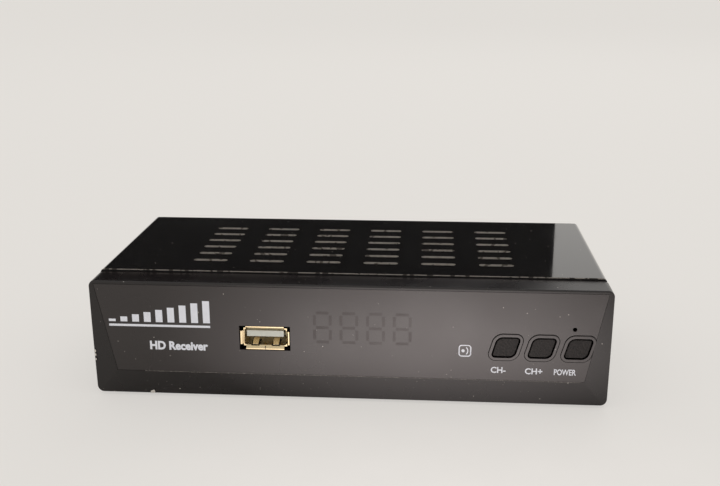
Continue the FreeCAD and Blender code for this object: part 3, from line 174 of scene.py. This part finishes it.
finishes = {
    # glossy moulded ABS, dulled a little by handling
    "bezelPlastic": makeFinish("moulded ABS", "#120e0f", "#191415", 0.28, dust=paleDust, ior=1.5, cloudMm=20.0),
    # printed smoked acrylic: warmer and softer in its shine than the frame
    "windowPlastic": makeFinish("smoked acrylic", "#1d1718", "#272020", 0.31, dust=paleDust, cloudMm=25.0, ior=1.58),
    # gloss black paint on steel: mirror-like, with a slight orange peel and finger marks in the gloss
    "coverPaint": makeFinish("gloss painted steel", "#0b0a0b", "#100f10", 0.07, spread=0.05, coat=0.6,
                             cloudMm=30.0, grainMm=1.6, bump=0.05, dust=paleDust),
    # where the press cuts the sheet the paint is off and the steel shows; on the cover's front edge this pale top band
    # is also a painted highlight, with black below it
    "frontEdgeSteelWithHighlight": makeFinish("front edge steel with painted highlight, black below", "#c2bbb4", "#7d7771", 0.55, metallic=0.35, cloudMm=1.5,
                           dust={"sizeMm": 1.7, "limit": 0.58, "colour": "#4b4643"},
                           below={"height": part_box("top_cover")[1][2] - 0.3 * mm, "colour": "#0e0d0d"}),
    # the bare edge of the pressed sheet, on the walls of the top slots: its pale colour is also a painted highlight on
    # the slot lips
    "slotSteelWithHighlight": makeFinish("slot wall steel with painted highlight", "#cfc8c0", "#8d8780", 0.6, metallic=0.35, cloudMm=1.5,
                           dust={"sizeMm": 1.7, "limit": 0.6, "colour": "#6b6560"}),
    # satin black powder paint
    "chassisPaint": makeFinish("powder painted steel", "#171617", "#1c1b1c", 0.5, grainMm=0.5, bump=0.25),
    # dull black rubber, with no shine at all
    "footRubber": makeFinish("moulded rubber", "#141414", "#1b1b1a", 0.8, grainMm=0.6, bump=0.3),
    # black plating: a dark metal glint on the screw heads
    "blackZinc": makeFinish("black zinc plated steel", "#2a2a2c", "#35343a", 0.32, metallic=1.0, cloudMm=2.0),
    # plain zinc plating: a pale, even metal
    "brightZinc": makeFinish("zinc plated steel", "#a9acb0", "#c2c3c0", 0.3, metallic=1.0, cloudMm=2.0),
    # spark-eroded ABS: a coarse matt grain, drawn at twice its real size so that it shows
    "buttonPlastic": makeFinish("spark-textured ABS", "#030202", "#231e1d", 0.62, sharp=True, ior=1.36,
                                cloudMm=0.42, grainMm=0.62, bump=1.0, bumpMm=0.25),
    # glass-filled nylon: plain satin black; also used for the black plates that paint shade in the USB socket's spring
    # slots
    "blackNylonAndShade": makeFinish("moulded nylon, also painted shade", "#161616", "#1d1c1c", 0.5),
    # green solder mask over glass cloth: a deep, glossy green
    "boardLaminate": makeFinish("solder-masked glass laminate", "#0f3d1e", "#165028", 0.3, cloudMm=5.0),
    # thin nickel over brass: a warm, worn shine, yellower than the rear sockets
    "usbNickel": makeFinish("nickel-plated brass", "#cdb98f", "#e2d3b2", 0.24, metallic=1.0, cloudMm=1.6, grainMm=0.2),
    # clean white plastic with a slight gloss, the brightest spot in the socket
    "whiteNylon": makeFinish("white moulded nylon, also painted shade", "#d5d8d2", "#c6cac3", 0.35, cloudMm=6.0),
    # thin gold over nickel: yellow and smooth
    "goldFlash": makeFinish("gold-flashed contact", "#d6a851", "#e3bd6e", 0.25, metallic=1.0, cloudMm=1.0),
    # bright nickel: a clear, cool shine
    "socketNickel": makeFinish("bright nickel plate", "#b7b5af", "#cfcdc7", 0.2, metallic=1.0, cloudMm=3.0),
    # unpigmented plastic: milky and soft
    "naturalPolythene": makeFinish("natural polythene", "#e4e0d3", "#d5d0c2", 0.5, cloudMm=2.0),
    # rolled tin-plated sheet: grey with long brush lines
    "tinPlate": makeFinish("tin-plated steel", "#a8aaab", "#bfc1c1", 0.34, metallic=1.0, brushed=(1.0, 12.0, 1.0)),
    # anodised aluminium: dark, with a soft metal shine
    "blackAnodised": makeFinish("black anodised aluminium", "#1d1d20", "#2a2a2e", 0.4, metallic=1.0),
    # soft grey-blue pad, matt
    "siliconePad": makeFinish("soft silicone", "#8f9aa6", "#a3adb6", 0.7),
    # shrunk printed sleeve: dark blue and glossy
    "blueSleeve": makeFinish("heat-shrink sleeve", "#141a2e", "#1b2340", 0.3),
    # sintered ceramic: dark grey and grainy
    "ferrite": makeFinish("sintered ferrite", "#2c2c2d", "#383839", 0.6, grainMm=0.5, bump=0.4),
    # the display's dark face, smooth
    "displayPlastic": makeFinish("display face", "#161414", "#1b1919", 0.3),
    # the figures' pale segments, dimmed by the smoked window
    "figurePlastic": makeFinish("figure segments behind the window", "#241d1d", "#302828", 0.34, cloudMm=6.0),
    # the unlit lamp: a very dark red
    "redEpoxy": makeFinish("clear red epoxy", "#240b0a", "#300f0d", 0.3),
    # screen-printing ink: flat and very white, with a cool cast
    "whiteInk": makeFinish("white screen ink", "#eef1fb", "#e2e5ef", 0.5, cloudMm=2.0, grainMm=0.2),
    # the rear's lettering: paler paint, a little dimmer than the front's ink
    "greyInk": makeFinish("pale screen ink", "#c9cbcf", "#bec0c4", 0.5, cloudMm=2.0, grainMm=0.2),
    # dust lying in seams, and the painted highlight along the window's lower edge: dull and pale
    "dustAndSeamHighlight": makeFinish("dust", "#75706b", "#b9b3ad", 0.9, cloudMm=1.5),
    # the plastic's core where the edge was knocked: pale and matt
    "bareChip": makeFinish("chipped edge", "#c3beb8", "#d8d4cd", 0.7, cloudMm=0.6),
}

nodeFinishes = {
    "bezelPlastic": ["front_bezel"],
    "windowPlastic": ["front_window"],
    "coverPaint": ["top_cover"],
    "chassisPaint": ["bottom_chassis"],
    "footRubber": ["foot_front_left", "foot_front_right", "foot_rear_left", "foot_rear_right"],
    "blackZinc": ["cover_screws", "bezel_screws"],
    "brightZinc": ["front_board_screws", "board_screws", "board_standoffs"],
    "buttonPlastic": ["channel_down_button", "channel_up_button", "power_button"],
    "blackNylonAndShade": [
        "channel_down_switch", "channel_up_switch", "power_switch", "channel_down_plunger", "channel_up_plunger",
        "power_plunger", "board_link_header", "memory_chip", "flash_chip", "processor", "video_tongue", "av_jack",
        "data_jack", "dc_jack",
    ],
    "boardLaminate": ["front_board", "main_board"],
    "usbNickel": ["usb_shell"],
    "whiteNylon": ["usb_tongue"],
    "goldFlash": ["usb_contacts", "dc_pin"],
    "socketNickel": ["video_shell", "lnb_socket", "antenna_socket"],
    "naturalPolythene": ["lnb_insulator", "antenna_insulator"],
    "tinPlate": ["tuner_can", "tuner_lid", "crystal"],
    "blackAnodised": ["heat_sink"],
    "siliconePad": ["thermal_pad"],
    "blueSleeve": ["capacitors"],
    "ferrite": ["power_inductors"],
    "displayPlastic": ["display_module", "ir_receiver"],
    "redEpoxy": ["standby_led"],
}

for finish, names in nodeFinishes.items():
    for name in names:
        data = nodes[name].data
        data.materials.clear()
        data.materials.append(finishes[finish])


# Pale steel colour on the walls of the top slots and on the cover's front edge: bare steel, and painted highlights
# where these edges catch the light
def paleEdgesAndHighlights(v):
    data = nodes["top_cover"].data
    data.materials.append(finishes["slotSteelWithHighlight"])
    data.materials.append(finishes["frontEdgeSteelWithHighlight"])
    low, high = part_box("top_cover")
    for face in data.polygons:
        across = abs(face.normal.z) < v["level"]
        inSlots = abs(face.center.x) < v["halfWidth"] * mm and low[1] + v["edge"] * mm < face.center.y
        nearTop = face.center.z > high[2] - v["sheet"] * mm
        slotWall = across and inSlots and nearTop and face.center.y < high[1] - v["edge"] * mm
        frontEdge = face.normal.y < -v["facing"] and face.center.y < low[1] + v["sheet"] * mm / 2
        # slot walls and the front edge get a pale colour: bare steel, and a painted highlight
        if slotWall or frontEdge:
            face.material_index = v["wallIndex"] if slotWall else v["edgeIndex"]


paleEdgesAndHighlights({"level": 0.3, "halfWidth": 55.0, "edge": 5.0, "sheet": 0.8, "facing": 0.9, "wallIndex": 1,
              "edgeIndex": 2})


# The raised rims round the buttons are as dull as the window
def hazeRims(v):
    data = nodes["front_bezel"].data
    data.materials.append(finishes["windowPlastic"])
    for face in data.polygons:
        if face.center.y < frontY - v["proud"] * mm:
            face.material_index = v["rimIndex"]


hazeRims({"proud": 0.02, "rimIndex": 1})


# The moulded window's edges are broken, so that they catch the light
def softenEdges(v):
    bevel = nodes[v["node"]].modifiers.new("softEdges", "BEVEL")
    bevel.width = v["width"] * mm
    bevel.segments = v["steps"]
    bevel.limit_method = "ANGLE"
    bevel.angle_limit = math.radians(v["angle"])
    bevel.harden_normals = False


softenEdges({"node": "front_window", "width": 0.13, "steps": 2, "angle": 50})
print("finishes done")


# New pieces

def newPiece(name, mesh, finish, body="root"):
    obj = bpy.data.objects.new(name, mesh)
    bpy.context.collection.objects.link(obj)
    obj.data.materials.append(finishes[finish])
    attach(obj, body)
    return obj


def meshFrom(bm, name):
    bmesh.ops.recalc_face_normals(bm, faces=bm.faces)
    mesh = bpy.data.meshes.new(name)
    bm.to_mesh(mesh)
    bm.free()
    return mesh


thinnest = 0.001


# A box between two corners, in mm
def addPlate(bm, low, high):
    middle = Vector([(a + b) / 2 * mm for a, b in zip(low, high)])
    size = [max(b - a, thinnest) * mm for a, b in zip(low, high)]
    made = bmesh.ops.create_cube(bm, size=1.0)["verts"]
    bmesh.ops.scale(bm, vec=size, verts=made)
    bmesh.ops.translate(bm, vec=middle, verts=made)


# A point on the front, from the middle of its lower edge, in mm
def frontPlace(x, z, proud):
    return (x, frontY / mm - proud, frontBottomZ / mm + z)


# Ink stands a little out of the surface and reaches a little into it; capHeight is the font's, per unit of size
ink = {"proud": 0.03, "sunk": 0.02, "capHeight": 0.7, "curveSteps": 3}


# Ink lettering on the front, or on a rear plane at y = rear
def printText(name, words, x, z, height, weight, finish, stretch=1.0, rear=None):
    curve = bpy.data.curves.new(name, "FONT")
    curve.body = words
    curve.size = height * mm / ink["capHeight"]
    curve.offset = weight * mm
    curve.extrude = ink["proud"] * mm
    curve.align_x = "CENTER"
    curve.resolution_u = ink["curveSteps"]
    holder = bpy.data.objects.new(name, curve)
    bpy.context.collection.objects.link(holder)
    bpy.context.view_layer.update()
    evaluated = holder.evaluated_get(bpy.context.evaluated_depsgraph_get())
    mesh = bpy.data.meshes.new_from_object(evaluated)
    bpy.data.objects.remove(holder)
    turn = Matrix.Rotation(math.pi / 2, 4, "X")
    place = Matrix.Translation((x * mm, frontY, frontBottomZ + z * mm))
    if rear is not None:
        turn = Matrix.Rotation(math.pi, 4, "Z") @ turn
        place = Matrix.Translation((x * mm, rear, z * mm))
    mesh.transform(place @ turn @ Matrix.Diagonal((stretch, 1.0, 1.0, 1.0)))
    return newPiece(name, mesh, finish)


# Words, x, z, height, extra weight and stretch
legends = {
    "legendDown": ("CH-", 44.95, 10.08, 1.83, 0.06, 0.98),
    "legendUp": ("CH+", 55.4, 9.93, 1.83, 0.06, 1.0),
    "legendPower": ("POWER", 64.45, 9.88, 1.8, 0.05, 0.72),
    "legendKind": ("HD Receiver", -51.1, 14.9, 2.55, 0.16, 0.92),
}
for name, (words, x, z, height, weight, stretch) in legends.items():
    printText(name, words, x, z, height, weight, "whiteInk", stretch)


# A rounded square with a dot and a wave: where the receiver's eye is
def makeEyeMark(v):
    bm = bmesh.new()
    x, y, z = frontPlace(v["x"], v["z"], ink["proud"])
    half, thick = v["size"] / 2, ink["proud"] + ink["sunk"]
    addPlate(bm, (x - half, y, z - half), (x + half, y + thick, z + half))
    corners = [edge for edge in bm.edges if abs(edge.verts[0].co.y - edge.verts[1].co.y) > thick / 2 * mm]
    bmesh.ops.bevel(bm, geom=corners, offset=v["corner"] * mm, segments=v["cornerSteps"], affect="EDGES", profile=0.5,
                    material=-1)
    bm.normal_update()
    front = min(bm.faces, key=lambda face: face.calc_center_median().y)
    bmesh.ops.inset_region(bm, faces=[front], thickness=v["line"] * mm, depth=0.0)
    # the middle goes behind the window's surface, which leaves the line
    bmesh.ops.translate(bm, vec=(0, (ink["proud"] + ink["sunk"] / 2) * mm, 0), verts=front.verts)
    centre = Vector((x - v["shift"], y + thick / 2, z)) * mm
    bmesh.ops.create_cone(bm, cap_ends=True, segments=v["steps"], radius1=v["dot"] * mm, radius2=v["dot"] * mm,
                          depth=thick * mm, matrix=Matrix.Translation(centre) @ Matrix.Rotation(math.pi / 2, 4, "X"))
    bar = bmesh.ops.create_grid(bm, x_segments=1, y_segments=1, size=0.5)["verts"]
    bmesh.ops.scale(bm, vec=(v["waveLine"] * mm, thick * mm, 1.0), verts=bar)
    bmesh.ops.translate(bm, vec=centre + Vector((v["wave"] * mm, 0, 0)), verts=bar)
    bmesh.ops.rotate(bm, cent=centre, matrix=Matrix.Rotation(-v["sweep"] / 2, 3, "Y"), verts=bar)
    edges = list({edge for vert in bar for edge in vert.link_edges})
    bmesh.ops.spin(bm, geom=bar + edges + list(bar[0].link_faces), cent=centre, axis=(0, 1, 0), angle=v["sweep"],
                   steps=v["steps"] // 2)
    return newPiece("eyeMark", meshFrom(bm, "eyeMark"), "whiteInk")


makeEyeMark({"x": 34.99, "z": 16.84, "size": 3.75, "corner": 0.95, "line": 0.46, "dot": 0.5, "shift": 0.55,
             "wave": 1.41, "waveLine": 0.322, "steps": 16, "cornerSteps": 5, "sweep": math.radians(100)})


# Rising bars over a rule, as a plain mark in white ink
def makeSignalMark(v):
    bm = bmesh.new()
    y = frontY / mm
    for bar in range(v["bars"]):
        left = v["left"] + bar * v["pitch"]
        top = v["foot"] + v["step"] * (bar + 1)
        base = frontPlace(left, v["foot"], ink["proud"])
        addPlate(bm, base, (left + v["width"], y + ink["sunk"], frontBottomZ / mm + top))
    addPlate(bm, frontPlace(v["left"], v["ruleZ"], ink["proud"]),
             (v["left"] + v["ruleLength"], y + ink["sunk"], frontBottomZ / mm + v["ruleZ"] + v["rule"]))
    return newPiece("signalMark", meshFrom(bm, "signalMark"), "whiteInk")


makeSignalMark({"bars": 9, "left": -72.0, "pitch": 3.6, "width": 2.1, "step": 0.78, "foot": 23.6,
                "ruleZ": 22.1, "rule": 0.7, "ruleLength": 30.9})


# Four seven-segment figures, seen dimly through the window
def makeFigures(v):
    bm = bmesh.new()
    y = frontY / mm
    half = v["width"] / 2
    thick = v["line"]
    for figure in range(v["count"]):
        x = v["first"] + figure * v["pitch"]
        rows = [v["z"] - v["height"] / 2, v["z"], v["z"] + v["height"] / 2]
        spots = [((x - half + thick, row - thick / 2), (x + half - thick, row + thick / 2)) for row in rows]
        for side in (x - half, x + half - thick):
            for low, high in zip(rows, rows[1:]):
                spots.append(((side, low + thick * v["gap"]), (side + thick, high - thick * v["gap"])))
        for low, high in spots:
            addPlate(bm, (low[0], y - v["proud"], frontBottomZ / mm + low[1]),
                     (high[0], y + ink["sunk"], frontBottomZ / mm + high[1]))
    return newPiece("displayFigures", meshFrom(bm, "displayFigures"), "figurePlastic")


makeFigures({"count": 4, "first": -7.3, "pitch": 7.9, "z": 23.1, "width": 5.6, "height": 9.2, "line": 0.9,
             "proud": 0.012, "gap": 0.8})


# An aerial socket: a collar at the case, then a fine thread up to a bevelled mouth
def makeThreadedSocket(name, v):
    low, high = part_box(name)
    outer = (high[0] - low[0]) / 2
    x, z = (low[0] + high[0]) / 2, (low[2] + high[2]) / 2
    pitch, depth, bore = v["pitch"] * mm, v["depth"] * mm, v["bore"] * mm
    profile = [(bore, low[1]), (outer, low[1])]
    y = high[1] - v["threadLength"] * mm
    profile += [(outer, y - v["relief"] * mm), (outer - depth, y - v["relief"] * mm + depth)]
    while y + pitch < high[1] - depth:
        profile += [(outer - depth, y), (outer, y + pitch * v["crest"][0]), (outer, y + pitch * v["crest"][1])]
        y += pitch
    profile += [(outer - depth, high[1] - depth), (outer - depth * v["mouth"], high[1]), (bore, high[1])]
    bm = bmesh.new()
    verts = [bm.verts.new((radius, along, 0)) for radius, along in profile]
    edges = [bm.edges.new(pair) for pair in zip(verts, verts[1:] + verts[:1])]
    bmesh.ops.spin(bm, geom=verts + edges, cent=(0, 0, 0), axis=(0, 1, 0), angle=2 * math.pi,
                   steps=v["steps"], use_merge=True)
    bmesh.ops.remove_doubles(bm, verts=bm.verts, dist=1e-7)
    bmesh.ops.translate(bm, verts=bm.verts, vec=(x, 0, z))
    obj = newPiece(f"{name}_threaded", meshFrom(bm, name), "socketNickel")
    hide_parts(name)


thread = {"pitch": 0.79, "depth": 0.4, "bore": 3.5, "threadLength": 9.6, "relief": 0.7, "steps": 48,
          "crest": (0.45, 0.55), "mouth": 1.6}
for name in ("lnb_socket", "antenna_socket"):
    makeThreadedSocket(name, thread)

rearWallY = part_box("bottom_chassis")[1][1]
rearWeight = 0.02
# Words, x, z and height
rearLegends = {
    "rearLegendSatellite": ("LNB IN", 55.0, 24.6, 2.3),
    "rearLegendAerial": ("ANT IN", 35.0, 24.6, 2.3),
    "rearLegendVideo": ("AV", -26.0, 18.6, 2.1),
    "rearLegendData": ("DATA", -40.0, 18.6, 2.1),
    "rearLegendPower": ("DC 12V", -58.0, 23.2, 2.1),
    "rearLegendPicture": ("HD OUT", -3.0, 18.6, 2.1),
}
for name, (words, x, z, height) in rearLegends.items():
    printText(name, words, x, z, height, rearWeight, "greyInk", rear=rearWallY)


# Small knocks on the front frame's lower and left edges, where the pale core shows
def makeChips(v):
    bm = bmesh.new()
    for x, z, y, width, height in v["spots"]:
        chip = bmesh.ops.create_icosphere(bm, subdivisions=2, radius=v["radius"] * mm)["verts"]
        bmesh.ops.scale(bm, vec=(width, v["flat"], height), verts=chip)
        bmesh.ops.translate(bm, verts=chip, vec=(x * mm, frontY + y * mm, frontBottomZ + z * mm))
    return newPiece("edgeChips", meshFrom(bm, "edgeChips"), "bareChip")


# Each spot is x, z, y, width and height
makeChips({"flat": 0.25, "radius": 0.5, "spots": [
    (-60.1, 0.5, 0.45, 1.5, 0.9),
    (-59.8, 0.8, 0.3, 0.6, 0.8),
    (-77.2, 13.6, 0.25, 0.6, 1.0),
    (-77.15, 12.4, 0.25, 0.5, 0.9),
    (-77.1, 10.9, 0.22, 0.4, 0.7),
]})


# Fine pale dust caught along the window's lower edge and on the strip below it, and a thin pale line along that edge
# that is a painted highlight
def makeSeamDustAndHighlight(v):
    bm = bmesh.new()
    rng = random.Random(v["seed"])
    for i in range(v["count"]):
        x = rng.uniform(*v["along"])
        strays = i % v["strayEvery"] == 0
        z = rng.uniform(*v["strip"]) if strays else v["seam"] + rng.uniform(-v["stray"], v["stray"])
        y = (v["facetZ"] - z) * v["lean"] if strays else v["seamY"]
        half = rng.uniform(*v["size"]) * mm
        speck = bmesh.ops.create_icosphere(bm, subdivisions=1, radius=half)["verts"]
        bmesh.ops.scale(bm, vec=(rng.uniform(*v["stretch"]), v["flat"], 1.0), verts=speck)
        bmesh.ops.translate(bm, verts=speck, vec=(x * mm, frontY + y * mm, frontBottomZ + z * mm))
    # a thin pale plate along the window's lower edge: a painted highlight, not dust
    addPlate(bm, (v["along"][0], frontY / mm - v["lineProud"], frontBottomZ / mm + v["seam"] - v["line"] / 2),
             (v["along"][1], frontY / mm + ink["sunk"], frontBottomZ / mm + v["seam"] + v["line"] / 2))
    return newPiece("seamDustAndHighlight", meshFrom(bm, "seamDustAndHighlight"), "dustAndSeamHighlight")


makeSeamDustAndHighlight({"seed": 7, "count": 260, "along": (-62.0, 69.5), "seam": 7.62, "seamY": -0.012, "strip": (1.5, 7.0),
              "facetZ": 7.5, "lean": 0.1, "strayEvery": 9, "stray": 0.06, "size": (0.04, 0.085), "stretch": (1.0, 2.2),
              "flat": 0.4, "line": 0.05, "lineProud": 0.008})


# Leaf springs that rise from the socket's floor, the joint line where the shell's ends meet, and black plates round the
# springs that paint in the shade of their slots
def makeSocketSprings(v):
    low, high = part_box("usb_shell")
    middle, floor = (low.x + high.x) / 2 / mm, v["floor"]
    mouth = low.y / mm
    bm = bmesh.new()
    for side in (-1, 1):
        x = middle + side * v["spread"]
        for step in range(v["steps"]):
            y = mouth + v["start"] + v["run"] * step / v["steps"]
            rise = v["rise"] * math.sin(v["arch"] * step / (v["steps"] - 1))
            addPlate(bm, (x - v["width"] / 2, y, floor + rise),
                     (x + v["width"] / 2, y + v["run"] / v["steps"] + v["overlap"], floor + rise + v["sheet"]))
    newPiece("socketSprings", meshFrom(bm, "socketSprings"), "usbNickel")
    bm = bmesh.new()
    addPlate(bm, (middle - v["joint"] / 2, mouth - v["film"], low.z / mm + v["jointFoot"]),
             (middle + v["joint"] / 2, mouth + v["jointRun"], low.z / mm + v["jointRise"]))
    # black plates round the springs: painted shade in their slots
    for side in (-1, 1):
        x = middle + side * v["spread"]
        addPlate(bm, (x - v["width"] / 2 - v["slot"], mouth + v["start"] - v["slot"], floor - v["film"]),
                 (x + v["width"] / 2 + v["slot"], mouth + v["start"] + v["run"], floor + v["film"] / 3))
    newPiece("socketShadows", meshFrom(bm, "socketShadows"), "blackNylonAndShade")


makeSocketSprings({"spread": 3.1, "width": 1.7, "start": 1.0, "run": 4.5, "steps": 12, "rise": 0.9, "sheet": 0.22,
                   "arch": math.pi * 0.55, "overlap": 0.02, "floor": 17.66, "joint": 0.16, "jointFoot": 0.05,
                   "jointRun": 1.6, "jointRise": 0.9, "slot": 0.4, "film": 0.012})
print("pieces done")


# The room: a pale floor, a pale world, a weak lamp behind and two cards that only sheen mirrors
room = {
    "floorHex": "#efece7",
    "worldHex": "#e3e0dc",
    "worldStrength": 1.05,
    "floorHalf": 40.0,
    "floorShown": 0.7,
}


def makeFloor(v):
    bm = bmesh.new()
    bmesh.ops.create_grid(bm, x_segments=1, y_segments=1, size=v["floorHalf"])
    mesh = bpy.data.meshes.new("floor")
    bm.to_mesh(mesh)
    bm.free()
    floor = bpy.data.objects.new("floor", mesh)
    bpy.context.collection.objects.link(floor)
    paper = makeFinish("paper floor", v["floorHex"], v["floorHex"], 0.9, bump=0.0)
    tree = paper.node_tree
    # the camera sees most of the floor at its plain colour, so that contact shadows stay faint
    path = addNode(tree, "ShaderNodeLightPath")
    share = addNode(tree, "ShaderNodeMath", {"operation": "MULTIPLY"},
                    {0: path.outputs["Is Camera Ray"], 1: v["floorShown"]})
    shown = addNode(tree, "ShaderNodeEmission", inputs={"Color": toLinear(v["worldHex"]), "Strength": 1.0})
    mix = addNode(tree, "ShaderNodeMixShader", inputs={
        0: share.outputs[0], 1: tree.nodes["Principled BSDF"].outputs[0], 2: shown.outputs[0]})
    tree.links.new(mix.outputs[0], tree.nodes["Material Output"].inputs["Surface"])
    mesh.materials.append(paper)


def makeWorld(v):
    world = bpy.data.worlds.new("world")
    world.use_nodes = True
    tree = world.node_tree
    tree.nodes.clear()
    path = addNode(tree, "ShaderNodeLightPath")
    seen = addNode(tree, "ShaderNodeMath", {"operation": "MAXIMUM"})
    tree.links.new(path.outputs["Is Camera Ray"], seen.inputs[0])
    tree.links.new(path.outputs["Is Glossy Ray"], seen.inputs[1])
    light, shown = (
        addNode(tree, "ShaderNodeBackground", inputs={"Color": toLinear(v["worldHex"]), "Strength": strength})
        for strength in (v["worldStrength"], 1.0))
    mix = addNode(tree, "ShaderNodeMixShader", inputs={0: seen.outputs[0], 1: light.outputs[0], 2: shown.outputs[0]})
    addNode(tree, "ShaderNodeOutputWorld", inputs={"Surface": mix.outputs[0]})
    bpy.context.scene.world = world


def makeLamp(name, place, target, size, power):
    data = bpy.data.lights.new(name, "AREA")
    data.shape = "RECTANGLE"
    data.size, data.size_y = size
    data.energy = power
    lamp = bpy.data.objects.new(name, data)
    bpy.context.collection.objects.link(lamp)
    aim = (Vector(target) - Vector(place)).to_track_quat("-Z", "Y").to_matrix().to_4x4()
    lamp.matrix_world = Matrix.Translation(place) @ aim


makeFloor(room)
makeWorld(room)
# Lamps are placed in metres
makeLamp("rimLamp", (0.25, 0.9, 0.9), (0.0, 0.0, 0.03), (0.7, 0.5), 1.5)


# A black card behind the case, which the gloss paint mirrors. The camera doesn't see it and it shades nothing.
def makeDarkCard(v):
    bm = bmesh.new()
    addPlate(bm, v["low"], v["high"])
    card = bpy.data.objects.new("darkCard", meshFrom(bm, "darkCard"))
    bpy.context.collection.objects.link(card)
    card.data.materials.append(makeFinish("black card", "#0c0b0c", "#100f10", 0.8))
    card.visible_camera = card.visible_diffuse = card.visible_shadow = card.visible_transmission = False


makeDarkCard({"low": (-420.0, 150.0, 60.0), "high": (85.0, 152.0, 330.0)})
# A soft patch of light low before the front. Only its sheen mirrors it; it lights nothing else.
def makeSheenCard(v):
    bm = bmesh.new()
    bmesh.ops.create_grid(bm, x_segments=1, y_segments=1, size=1.0)
    bmesh.ops.scale(bm, vec=(v["half"][0] * mm, v["half"][1] * mm, 1.0), verts=bm.verts)
    bmesh.ops.translate(bm, vec=(v["x"] * mm, frontY + v["y"] * mm, v["z"] * mm), verts=bm.verts)
    card = bpy.data.objects.new("sheenCard", meshFrom(bm, "sheenCard"))
    bpy.context.collection.objects.link(card)
    material = bpy.data.materials.new("soft light patch")
    material.use_nodes = True
    tree = material.node_tree
    tree.nodes.clear()
    place = addNode(tree, "ShaderNodeTexCoord").outputs["Generated"]
    spread = addNode(tree, "ShaderNodeMapping", inputs={"Vector": place, "Location": (-1, -1, 0), "Scale": (2, 2, 0)})
    fall = addNode(tree, "ShaderNodeTexGradient", {"gradient_type": v["fall"]}, {"Vector": spread.outputs[0]})
    level = addNode(tree, "ShaderNodeMath", {"operation": "MULTIPLY"}, {0: fall.outputs["Fac"], 1: v["strength"]})
    glow = addNode(tree, "ShaderNodeEmission", inputs={"Color": toLinear(v["colour"]), "Strength": level.outputs[0]})
    clear = addNode(tree, "ShaderNodeBsdfTransparent")
    both = addNode(tree, "ShaderNodeAddShader", inputs={0: glow.outputs[0], 1: clear.outputs[0]})
    addNode(tree, "ShaderNodeOutputMaterial", inputs={"Surface": both.outputs[0]})
    card.data.materials.append(material)
    card.visible_camera = card.visible_diffuse = card.visible_shadow = card.visible_transmission = False


makeSheenCard({"half": (98.0, 75.0), "x": 27.0, "y": -62.0, "z": 0.4, "strength": 4.3, "colour": "#fff4f2",
               "fall": "SPHERICAL"})
bpy.context.scene.view_settings.view_transform = "Standard"

print("scene done")
